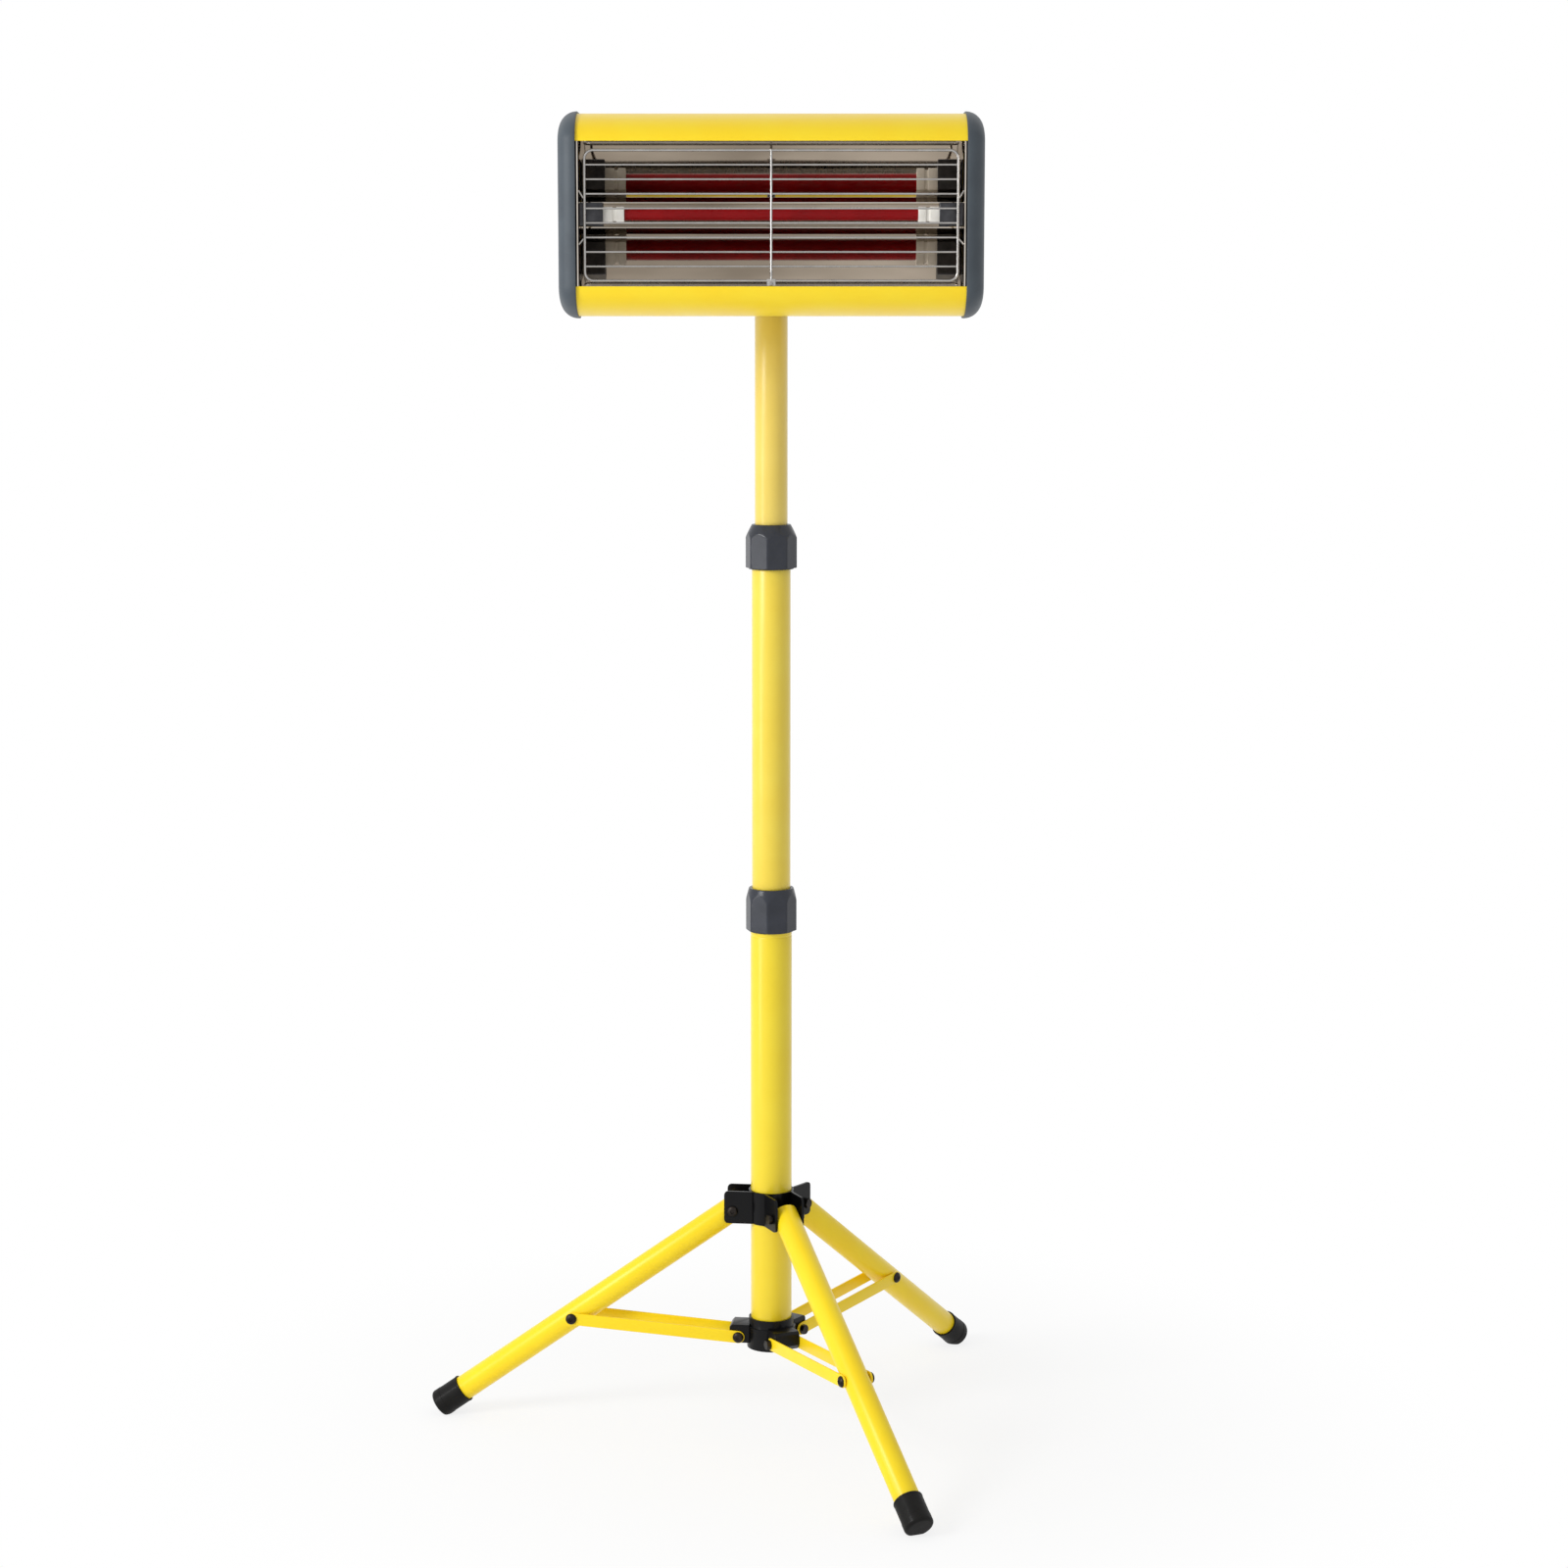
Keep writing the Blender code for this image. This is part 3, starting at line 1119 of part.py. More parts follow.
def build_lamp(finishes, tilt):
    lamp = axis("lamp_axis", tilt, (0, LAMP_Y, 0))
    half_glass = GLASS_HALF_SHOWN + GLASS_IN_BASE
    glass = turned(
        sleeve_profile(LAMP_RADIUS - GLASS_WALL, LAMP_RADIUS, -half_glass, half_glass),
        SMALL_STEPS,
        "X",
        bored=True,
    )
    piece("lamp_glass", glass, finishes["ruby_glass"], lamp)

    half_filament = half_glass + SEAT_GAP + LAMP_BASE_SIDE / 4
    disc_radius = LAMP_RADIUS - GLASS_WALL - SEAT_GAP
    pitch = 2 * GLASS_HALF_SHOWN / FILAMENT_DISCS
    profile = [(0, -half_filament), (FILAMENT_RADIUS, -half_filament)]
    for index in range(FILAMENT_DISCS):
        middle = -GLASS_HALF_SHOWN + pitch * (index + 1 / 2)
        for x in (middle - FILAMENT_DISC_THICKNESS / 2, middle + FILAMENT_DISC_THICKNESS / 2):
            pair = [(FILAMENT_RADIUS, x), (disc_radius, x)]
            profile += pair if x < middle else pair[::-1]
    profile += [(FILAMENT_RADIUS, half_filament), (0, half_filament)]
    piece("filament", turned(profile, SMALL_STEPS // 2 + 2, "X"), finishes["tungsten"], lamp)

    half = LAMP_BASE_SIDE / 2
    for side, name in ((-1, "left"), (1, "right")):
        near = GLASS_HALF_SHOWN
        far = near + LAMP_BASE_LENGTH
        low, high = sorted((side * near, side * far))
        base = box((low, -half, -half), (high, half, half))
        span = sorted((side * (near - CUT_OVERRUN), side * (half_glass + SEAT_GAP)))
        socket = rod(LAMP_RADIUS + SEAT_GAP, *span, about="X")
        span = sorted((side * near, side * (half_filament + SEAT_GAP)))
        lead_hole = rod(FILAMENT_RADIUS + SEAT_GAP, *span, about="X")
        cuts = [socket, lead_hole]
        piece(f"lamp_base_{name}", base, finishes["ceramic"], lamp, cuts=cuts)

        grip_near = far - HOLDER_GRIP
        low, high = sorted((side * grip_near, side * REFLECTOR_HALF_LENGTH))
        outer = half + SEAT_GAP + HOLDER_WALL
        back = half + SEAT_GAP + HOLDER_BACK_WALL
        holder = box((low, -outer, -outer), (high, back, outer))
        seat = half + SEAT_GAP
        low, high = sorted((side * (grip_near - CUT_OVERRUN), side * (far + SEAT_GAP)))
        pocket = box((low, -seat, -seat), (high, seat, seat))
        piece(f"lamp_holder_{name}", holder, finishes["holder_steel"], lamp, cuts=[pocket])


# Wire guard
def tab_back():
    """y of the guard tab's back face, clear of the reflector below it."""
    return facet_depth(RIM_HALF_HEIGHT) - SEAT_GAP


def screw_height():
    return -(GUARD_LOWEST + FRAME_WIRE_RADIUS + SEAT_GAP + SCREW_RADIUS)


def build_guard(finishes, tilt):
    half_width, half_height = GUARD_WIDTH / 2, GUARD_HEIGHT / 2
    corner = GUARD_CORNER_RADIUS
    frame_path = []
    for x_side, z_side, start in ((1, 1, 0), (-1, 1, 90), (-1, -1, 180), (1, -1, 270)):
        centre = (x_side * (half_width - corner), z_side * (half_height - corner) - GUARD_DROP)
        frame_path += arc(centre, corner, corner, start, start + 90, CORNER_STEPS)
    frame = wire([[(x, GUARD_Y, z) for x, z in frame_path]], FRAME_WIRE_RADIUS, 2, cyclic=True)

    pitch = GUARD_HEIGHT / (CROSS_WIRES + 1)
    bars = []
    for index in range(CROSS_WIRES):
        z = half_height - GUARD_DROP - pitch * (index + 1)
        bars.append([(-half_width, GUARD_Y, z), (half_width, GUARD_Y, z)])
    for side in (-1, 1):
        for share in HOOK_HEIGHT_SHARES:
            z = half_height * share
            inner, outer = side * half_width, side * REFLECTOR_HALF_LENGTH
            bars.append([(inner, GUARD_Y, z), (outer, GUARD_Y, z)])
    cross = wire(bars, CROSS_WIRE_RADIUS, 1)

    upright_y = GUARD_Y - FRAME_WIRE_RADIUS
    tab_front = tab_back() - GUARD_TAB_THICKNESS
    tab_middle = tab_front + GUARD_TAB_THICKNESS / 2
    tab_top = screw_height() + GUARD_TAB_HEIGHT / 2
    upright_path = [
        (0, upright_y, half_height - GUARD_DROP),
        (0, upright_y, tab_top + GUARD_BEND),
        (0, tab_middle, tab_top - UPRIGHT_WIRE_RADIUS),
    ]
    upright = wire([upright_path], UPRIGHT_WIRE_RADIUS, 2)
    half_tab = GUARD_TAB_WIDTH / 2
    tab_low = (-half_tab, tab_front, max(tab_top - GUARD_TAB_HEIGHT, -MOUTH_HALF_HEIGHT))
    tab = box(tab_low, (half_tab, tab_back(), tab_top))
    hole = rod(
        SCREW_RADIUS + SEAT_GAP,
        tab_front - CUT_OVERRUN,
        tab_back() + CUT_OVERRUN,
        SMALL_STEPS,
        "Y",
        (0, 0, screw_height()),
    )
    joins = [cross, upright, tab]
    piece("wire_guard", frame, finishes["chrome_wire"], tilt, joins=joins, cuts=[hole])

    head_back = tab_front - SEAT_GAP
    screw = [
        (0, -SCREW_HEAD_HEIGHT),
        (SCREW_HEAD_RADIUS / 2, -SCREW_HEAD_HEIGHT),
        (SCREW_HEAD_RADIUS, 0),
        (SCREW_RADIUS, 0),
        (SCREW_RADIUS, SCREW_LENGTH),
        (0, SCREW_LENGTH),
    ]
    mesh = turned(screw, SMALL_STEPS, "Y")
    mesh.transform(Matrix.Translation((0, head_back, screw_height())))
    piece("guard_screw", mesh, finishes["chrome_wire"], tilt)


# Electrics
def switch_body_half():
    return (
        SWITCH_BEZEL_WIDTH / 2 - SWITCH_BEZEL_RIM,
        SWITCH_BEZEL_HEIGHT / 2 - SWITCH_BEZEL_RIM,
    )


def build_switch(finishes, tilt):
    place = axis("switch_place", tilt, (SWITCH_X, HEAD_BACK, SWITCH_Z))
    width, height = SWITCH_BEZEL_WIDTH / 2, SWITCH_BEZEL_HEIGHT / 2
    face = SEAT_GAP + SWITCH_BEZEL_PROUD
    bezel = box((-width, SEAT_GAP, -height), (width, face, height))
    body_width, body_height = switch_body_half()
    body = box(
        (-body_width, face - SWITCH_BODY_DEPTH, -body_height),
        (body_width, face - SWITCH_BEZEL_PROUD / 2, body_height),
    )
    window_x = body_width - SWITCH_WINDOW_WALL
    window_z = body_height - SWITCH_WINDOW_WALL
    window = box(
        (-window_x, face - ROCKER_POCKET_DEPTH, -window_z),
        (window_x, face + CUT_OVERRUN, window_z),
    )
    plastic = finishes["black_plastic"]
    piece("switch_body", bezel, plastic, place, joins=[body], cuts=[window])

    rocker = axis("rocker_axis", place, (0, face - ROCKER_THICKNESS / 2, 0), throw=2 * ROCKER_TILT)
    half_x, half_z = window_x - ROCKER_END_GAP, window_z - ROCKER_SIDE_GAP
    half_y = ROCKER_THICKNESS / 2
    outline = [
        (-half_x, -half_y),
        (half_x, -half_y),
        (half_x, half_y),
        (0, half_y - ROCKER_PEAK),
        (-half_x, half_y),
    ]
    mesh = plate(outline, -half_z, half_z, "Z")
    piece("switch_rocker", mesh, finishes["red_plastic"], rocker, (0, 0, ROCKER_TILT))


def build_gland_and_terminals(finishes, tilt):
    place = axis("gland_place", tilt, (GLAND_X, HEAD_BACK, GLAND_Z))
    outside = SEAT_GAP
    inside = -SHELL_WALL - SEAT_GAP
    shoulder = outside + GLAND_FLANGE
    gland = [
        (GLAND_BORE_RADIUS, inside - GLAND_NUT),
        (GLAND_FLANGE_RADIUS, inside - GLAND_NUT),
        (GLAND_FLANGE_RADIUS, inside),
        (GLAND_THREAD_RADIUS, inside),
        (GLAND_THREAD_RADIUS, outside),
        (GLAND_FLANGE_RADIUS, outside),
        (GLAND_FLANGE_RADIUS, shoulder),
        (GLAND_DOME_RADIUS, shoulder),
        (GLAND_DOME_RADIUS, shoulder + GLAND_DOME_LENGTH / 2),
        (GLAND_MOUTH_RADIUS, shoulder + GLAND_DOME_LENGTH),
        (GLAND_BORE_RADIUS, shoulder + GLAND_DOME_LENGTH),
    ]
    mesh = turned(gland, SMALL_STEPS, "Y", bored=True)
    piece("cord_gland", mesh, finishes["black_plastic"], place)

    block_back = SHELL_BACK_INNER - SEAT_GAP
    block_front = block_back - TERMINAL_DEPTH
    half_height = TERMINAL_HEIGHT / 2
    block = box(
        (TERMINAL_X - TERMINAL_LENGTH / 2, block_front, -half_height),
        (TERMINAL_X + TERMINAL_LENGTH / 2, block_back, half_height),
    )
    pitch = TERMINAL_LENGTH / TERMINAL_POLES
    slots = []
    for index in range(1, TERMINAL_POLES):
        x = TERMINAL_X - TERMINAL_LENGTH / 2 + pitch * index
        slots.append(
            (
                (x - TERMINAL_SLOT / 2, block_front - CUT_OVERRUN, -half_height - CUT_OVERRUN),
                (x + TERMINAL_SLOT / 2, block_front + TERMINAL_SLOT, half_height + CUT_OVERRUN),
            )
        )
    piece("terminal_block", block, finishes["ceramic"], tilt, cuts=[boxes(slots)])


def make_finishes():
    return {
        "yellow_paint": look("yellow_paint", (0.90, 0.68, 0.03), 0.32),
        "yellow_mast": look("yellow_mast", (0.86, 0.62, 0.10), 0.35),
        "yellow_shell": look("yellow_shell", (0.95, 0.60, 0.03), 0.28),
        "slate_plastic": look("slate_plastic", (0.10, 0.12, 0.14), 0.50),
        "charcoal_plastic": look("charcoal_plastic", (0.045, 0.048, 0.058), 0.42),
        "black_plastic": look("black_plastic", (0.015, 0.015, 0.017), 0.45),
        "black_steel": look("black_steel", (0.02, 0.02, 0.022), 0.38),
        "black_bolt": look("black_bolt", (0.03, 0.03, 0.032), 0.35, 0.6),
        "rubber": look("rubber", (0.03, 0.028, 0.025), 0.75),
        "zinc": look("zinc", (0.62, 0.62, 0.60), 0.30, 1.0),
        "mirror_sheet": look("mirror_sheet", (0.85, 0.85, 0.86), 0.06, 1.0),
        "ruby_glass": look("ruby_glass", (0.45, 0.002, 0.006), 0.05),
        "tungsten": look("tungsten", (0.30, 0.29, 0.28), 0.40, 1.0),
        "ceramic": look("ceramic", (0.85, 0.83, 0.78), 0.55),
        "holder_steel": look("holder_steel", (0.10, 0.10, 0.11), 0.35, 0.8),
        "chrome_wire": look("chrome_wire", (0.80, 0.80, 0.81), 0.12, 1.0),
        "red_plastic": look("red_plastic", (0.50, 0.01, 0.01), 0.30),
    }


def footprint_middle():
    """Middle of the lamp's box in x and y, from every piece as it is now."""
    bpy.context.view_layer.update()
    graph = bpy.context.evaluated_depsgraph_get()
    corners = [
        obj.matrix_world @ Vector(corner)
        for obj in bpy.context.scene.objects
        if obj.type == "MESH" and not obj.hide_render
        for corner in obj.evaluated_get(graph).bound_box
    ]
    xs = [corner.x for corner in corners]
    ys = [corner.y for corner in corners]
    return (min(xs) + max(xs)) / 2, (min(ys) + max(ys)) / 2


def main():
    clear_scene()
    finishes = make_finishes()
    root = axis("lamp_frame", None)
    span = 2 * (UPPER_PIVOT_RADIUS + LEG_REACH)
    floor_cut = linked("floor_cut", box((-span, -span, -span), (span, span, 0)), root)
    hide_tool(floor_cut)
    top_slide = build_mast(finishes, root)
    build_upper_hub(finishes, root)
    build_lower_hub(finishes, root)
    tilt = build_swivel(finishes, top_slide)
    build_bracket(finishes, tilt)
    build_casing(finishes, tilt)
    build_reflector(finishes, tilt)
    build_lamp(finishes, tilt)
    build_guard(finishes, tilt)
    build_switch(finishes, tilt)
    build_gland_and_terminals(finishes, tilt)
    middle_x, middle_y = footprint_middle()
    root.location = (-middle_x, -middle_y, 0)
    bpy.context.view_layer.update()


if __name__ == "__main__":
    main()
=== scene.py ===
# %% [markdown]
# # Infrared paint curing lamp
#
# A workshop lamp that bakes fresh paint. Its yellow head holds one ruby heater tube in front of
# a polished reflector, on a mast of three sliding tubes over a folding tripod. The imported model
# already holds every piece at its real size, with its real joints. This lesson dresses it: fine
# meshes stand in for the faceted ones, each riding on the same body, and every surface gets the
# finish of its real material. All lengths are in metres.

# %% Load the frame
import json
import math

import bmesh
import bpy
from mathutils import Matrix, Vector


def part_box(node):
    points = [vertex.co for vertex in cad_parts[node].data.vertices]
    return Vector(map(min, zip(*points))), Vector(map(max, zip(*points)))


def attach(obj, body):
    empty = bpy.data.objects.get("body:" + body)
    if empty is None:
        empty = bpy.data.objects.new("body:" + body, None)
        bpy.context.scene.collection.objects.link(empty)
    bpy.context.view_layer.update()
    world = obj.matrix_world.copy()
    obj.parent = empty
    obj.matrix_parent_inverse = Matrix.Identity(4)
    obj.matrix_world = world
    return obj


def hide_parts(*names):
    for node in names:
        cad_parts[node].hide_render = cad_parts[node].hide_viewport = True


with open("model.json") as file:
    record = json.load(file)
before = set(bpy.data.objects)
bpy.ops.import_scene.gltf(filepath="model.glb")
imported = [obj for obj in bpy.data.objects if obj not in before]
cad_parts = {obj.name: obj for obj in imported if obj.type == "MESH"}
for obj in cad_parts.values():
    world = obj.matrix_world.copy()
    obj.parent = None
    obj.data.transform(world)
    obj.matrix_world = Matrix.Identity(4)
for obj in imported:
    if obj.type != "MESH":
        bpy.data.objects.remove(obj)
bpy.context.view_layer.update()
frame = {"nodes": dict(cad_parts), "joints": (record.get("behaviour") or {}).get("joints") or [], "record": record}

# %% [markdown]
# Two facts from the frame serve the whole script: which body carries each node, and where the
# joints are. The mast's axis and the head's tilt axis are the two places that most pieces are
# measured from.

# %% Find the main places
behaviour = frame["record"]["behaviour"]
home = {node: body for body, nodes in behaviour["bodies"].items() for node in nodes}
joints = {joint["name"]: joint for joint in frame["joints"]}
tube_low, tube_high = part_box("mast_top_tube")
mast = Vector(((tube_low.x + tube_high.x) / 2, (tube_low.y + tube_high.y) / 2, 0))
head = Vector(joints["head_tilt"]["pos_m"])
print(f"mast at x {mast.x:.4f}, y {mast.y:.4f}; head pivot {head.z:.4f} above the floor")

# %% [markdown]
# ## Camera
#
# The photograph was taken from straight in front, a little above the middle of the mast, with
# a long lens. The distance and the lens together set the perspective: the width of the tripod
# against the width of the head. The mast stands slightly left of the frame's middle, and a
# small shift does that without turning the camera.

# %% Place the camera
CAMERA_DISTANCE = 3.272
CAMERA_HEIGHT = 1.127
CAMERA_DOWN = math.radians(8.1435)
CAMERA_LENS = 76.6
PHOTO_SIDE = 1600
MAST_PIXEL = 787


def put_in_scene(name, data):
    """A new object with this data, in the scene."""
    obj = bpy.data.objects.new(name, data)
    bpy.context.scene.collection.objects.link(obj)
    return obj


camera_data = bpy.data.cameras.new("camera")
camera_data.lens = CAMERA_LENS
camera_data.shift_x = (PHOTO_SIDE / 2 - MAST_PIXEL) / PHOTO_SIDE
camera = put_in_scene("camera", camera_data)
camera.location = (mast.x, mast.y - CAMERA_DISTANCE, CAMERA_HEIGHT)
camera.rotation_euler = (math.pi / 2 - CAMERA_DOWN, 0, 0)
bpy.context.scene.camera = camera
print(f"camera {CAMERA_DISTANCE} m in front, shift {camera_data.shift_x:.5f}")

# %% [markdown]
# ## Colours and nodes
#
# Colours are read off as sRGB hex values, which is how a picture stores them. A shader wants
# linear light, so one function turns them. One more function adds any node: it sets the
# sockets and properties that it is given, by name or by number, and makes the links.

# %% Helpers for materials
def linear(hex_colour):
    """An sRGB hex colour as the linear RGBA that a shader takes."""
    channels = [int(hex_colour[i : i + 2], 16) / 255 for i in (1, 3, 5)]
    bent = [c / 12.92 if c <= 0.04045 else ((c + 0.055) / 1.055) ** 2.4 for c in channels]
    return (*bent, 1.0)


def add_node(tree, kind, settings=None, links=None):
    """Adds a node of this kind, with its settings and with links from other sockets."""
    node = tree.nodes.new(kind)
    for key, value in (settings or {}).items():
        if isinstance(key, int) or key in node.inputs:
            node.inputs[key].default_value = value
        else:
            setattr(node, key, value)
    for key, socket in (links or {}).items():
        tree.links.new(socket, node.inputs[key])
    return node


print("white is", linear("#FFFFFF"), "and mid grey", linear("#808080")[:3])

# %% [markdown]
# ## Light
#
# The picture is a studio shot on pure white. The world is white wherever the camera, a
# reflection or a refraction looks at it, and weaker as a light, so that it fills the shadows
# without washing the colours out. It leans: a little stronger from the left and from behind.
# One soft lamp far out on the left leaves each tube's right edge in shade, which is what makes
# a tube look round, and a tall narrow one beside it draws the bright line down the mast.

# %% Light the studio
WORLD_FILL = 0.62
WORLD_LEAN = (-0.08, 0.12, 0.0)
KEY_POWER = 53.0
KEY_PLACE = Vector((-2.4, -1.7, 2.0))
KEY_SIZE = (1.1, 1.1)
STRIP_POWER = 8.0
STRIP_PLACE = Vector((-2.35, -1.15, 0.6))
STRIP_SIZE = (0.3, 1.1)
AIM = Vector((mast.x, mast.y, 0.75))

world = bpy.data.worlds.new("studio_white")
bpy.context.scene.world = world
world.use_nodes = True
sky = world.node_tree
sky.nodes.clear()


def seen_directly(tree):
    """1 where the camera, a reflection or a refraction looks, and 0 for light on surfaces."""
    path = add_node(tree, "ShaderNodeLightPath").outputs
    most = {"operation": "MAXIMUM"}
    first = {0: path["Is Camera Ray"], 1: path["Is Glossy Ray"]}
    either = add_node(tree, "ShaderNodeMath", most, first).outputs[0]
    both = {0: either, 1: path["Is Transmission Ray"]}
    return add_node(tree, "ShaderNodeMath", most, both).outputs[0]


def soft_lamp(name, place, size, power):
    lamp = bpy.data.lights.new(name, "AREA")
    lamp.shape = "RECTANGLE"
    lamp.size, lamp.size_y = size
    lamp.energy = power
    obj = put_in_scene(name, lamp)
    obj.location = place
    obj.rotation_euler = (AIM - place).to_track_quat("-Z", "Y").to_euler()


toward = add_node(sky, "ShaderNodeTexCoord").outputs["Generated"]
dot = {"operation": "DOT_PRODUCT", 1: WORLD_LEAN}
lean = add_node(sky, "ShaderNodeVectorMath", dot, {0: toward}).outputs["Value"]
more = {"operation": "ADD", 1: WORLD_FILL}
strength = add_node(sky, "ShaderNodeMath", more, {0: lean}).outputs[0]
fill = add_node(sky, "ShaderNodeBackground", {"Color": linear("#FFFFFF")}, {"Strength": strength})
white = add_node(sky, "ShaderNodeBackground", {"Color": linear("#FFFFFF"), "Strength": 1.0})
mixed = {0: seen_directly(sky), 1: fill.outputs[0], 2: white.outputs[0]}
surface = add_node(sky, "ShaderNodeMixShader", links=mixed).outputs[0]
add_node(sky, "ShaderNodeOutputWorld", links={"Surface": surface})
soft_lamp("key", KEY_PLACE, KEY_SIZE, KEY_POWER)
soft_lamp("strip", STRIP_PLACE, STRIP_SIZE, STRIP_POWER)
bpy.context.scene.view_settings.view_transform = "Standard"
print(f"world fill {WORLD_FILL}, key lamp {KEY_POWER} W, strip lamp {STRIP_POWER} W")

# %% [markdown]
# ## Floor
#
# The floor is a sheet of white paper. Near the mast, a part of what the camera sees of it is
# its own lit surface, which carries the soft shadow under the feet. Further out it fades into
# plain white, so that no line shows where it ends.

# %% Lay the floor
FLOOR_SIDE = 9.0
FLOOR_BELOW_FEET = 0.0002
PAPER_SHOWN_SHARE = 0.22
SHADOW_NEAR = 0.22
SHADOW_FAR = 0.75
FIBRE = 0.0025


def paper_white():
    material = bpy.data.materials.new("white_paper")
    material.use_nodes = True
    tree = material.node_tree
    tree.nodes.clear()
    place = add_node(tree, "ShaderNodeTexCoord").outputs["Object"]
    fibre = add_node(tree, "ShaderNodeTexNoise", {"Scale": 1 / FIBRE}, {"Vector": place})
    whites = {"data_type": "RGBA", 6: linear("#FFFFFF"), 7: linear("#FAFAFA")}
    shade = add_node(tree, "ShaderNodeMix", whites, {0: fibre.outputs[0]})
    lit = add_node(tree, "ShaderNodeBsdfDiffuse", links={"Color": shade.outputs[2]})
    plain = add_node(tree, "ShaderNodeEmission", {"Color": linear("#FFFFFF"), "Strength": 1.0})
    from_mast = add_node(tree, "ShaderNodeMapping", {"Location": -mast}, {"Vector": place})
    length = {"operation": "LENGTH"}
    distance = add_node(tree, "ShaderNodeVectorMath", length, {0: from_mast.outputs[0]})
    fade = {
        "interpolation_type": "SMOOTHSTEP",
        "From Min": SHADOW_NEAR,
        "From Max": SHADOW_FAR,
        "To Min": 1 - PAPER_SHOWN_SHARE,
        "To Max": 1.0,
    }
    plain_share = add_node(tree, "ShaderNodeMapRange", fade, {"Value": distance.outputs["Value"]})
    seen = {0: seen_directly(tree), 1: plain_share.outputs[0]}
    share = add_node(tree, "ShaderNodeMath", {"operation": "MULTIPLY"}, seen)
    both = {0: share.outputs[0], 1: lit.outputs[0], 2: plain.outputs[0]}
    shown = add_node(tree, "ShaderNodeMixShader", links=both)
    add_node(tree, "ShaderNodeOutputMaterial", links={"Surface": shown.outputs[0]})
    return material


def as_mesh(name, bm):
    """The mesh that a bmesh makes. The bmesh is freed."""
    mesh = bpy.data.meshes.new(name)
    bm.to_mesh(mesh)
    bm.free()
    return mesh


floor_bm = bmesh.new()
bmesh.ops.create_grid(floor_bm, x_segments=1, y_segments=1, size=FLOOR_SIDE / 2)
bmesh.ops.translate(floor_bm, vec=(0, 0, -FLOOR_BELOW_FEET), verts=floor_bm.verts)
floor_mesh = as_mesh("floor", floor_bm)
floor_mesh.materials.append(paper_white())
floor = put_in_scene("floor", floor_mesh)
print(f"floor {FLOOR_SIDE} m square")

# %% [markdown]
# ## Finishes
#
# Most real surfaces differ from a flat colour in the same three ways. The colour drifts a
# little over some centimetres, the gloss drifts with it, and a fine grain catches the light.
# One function makes such a finish from real sizes in millimetres. The pattern reads Object
# coordinates, so it has one scale on every piece.

# %% A function for a finish
PATCH_DETAIL = 4.0
GRAIN_DETAIL = 2.0
TINT_SPREAD = {"From Min": 0.35, "From Max": 0.65}


def finish(name, shades, gloss, patch, grain, relief, stretch=(1, 1, 1), sockets=None):
    """A material with two shades, a span of roughness, and a grain of this relief, in mm."""
    material = bpy.data.materials.new(name)
    material.use_nodes = True
    tree = material.node_tree
    shader = tree.nodes["Principled BSDF"]
    for socket, value in (sockets or {}).items():
        shader.inputs[socket].default_value = value
    place = add_node(tree, "ShaderNodeTexCoord").outputs["Object"]
    drawn = add_node(tree, "ShaderNodeMapping", {"Scale": stretch}, {"Vector": place})
    there = {"Vector": drawn.outputs[0]}
    drift = {"Scale": 1000 / patch, "Detail": PATCH_DETAIL}
    patches = add_node(tree, "ShaderNodeTexNoise", drift, there)
    amount = add_node(tree, "ShaderNodeMapRange", TINT_SPREAD, {"Value": patches.outputs[0]})
    pair = {"data_type": "RGBA", 6: linear(shades[0]), 7: linear(shades[1])}
    tint = add_node(tree, "ShaderNodeMix", pair, {0: amount.outputs[0]})
    tree.links.new(tint.outputs[2], shader.inputs["Base Color"])
    span = {"To Min": gloss[0], "To Max": gloss[1]}
    rough = add_node(tree, "ShaderNodeMapRange", span, {"Value": patches.outputs[0]})
    tree.links.new(rough.outputs[0], shader.inputs["Roughness"])
    bumps = {"Scale": 1000 / grain, "Detail": GRAIN_DETAIL}
    fine = add_node(tree, "ShaderNodeTexNoise", bumps, there)
    raised = {"Strength": 1.0, "Distance": relief / 1000}
    bump = add_node(tree, "ShaderNodeBump", raised, {"Height": fine.outputs[0]})
    tree.links.new(bump.outputs[0], shader.inputs["Normal"])
    return material


print("a finish has two shades, two roughness values and one grain")

# %% [markdown]
# **Powder coat.** The steel tubes, the braces and the casing are sprayed with yellow polyester
# powder and baked. It flows out into a satin skin with a faint orange peel, whose bumps are
# some 1.6 mm apart. The mast's tubes are a shade paler and glossier than the legs, and the
# casing is a shade warmer. The black steel hub and the bracket are coated too, but their black
# hardly shines.

# %% Mix the powder coats
ORANGE_PEEL = 1.6
PEEL_RELIEF = 0.004
COAT_PATCH = 45
SATIN = {"Specular IOR Level": 0.3, "Coat Weight": 0.5, "Coat Roughness": 0.28}
DULL_SATIN = {"Specular IOR Level": 0.2, "Coat Weight": 0.2, "Coat Roughness": 0.3}
DEEP_BLACK = {"Specular IOR Level": 0.12, "Coat Weight": 0.1, "Coat Roughness": 0.2}


def powder_coat(name, shades, gloss=(0.28, 0.4), sockets=SATIN):
    return finish(name, shades, gloss, COAT_PATCH, ORANGE_PEEL, PEEL_RELIEF, sockets=sockets)


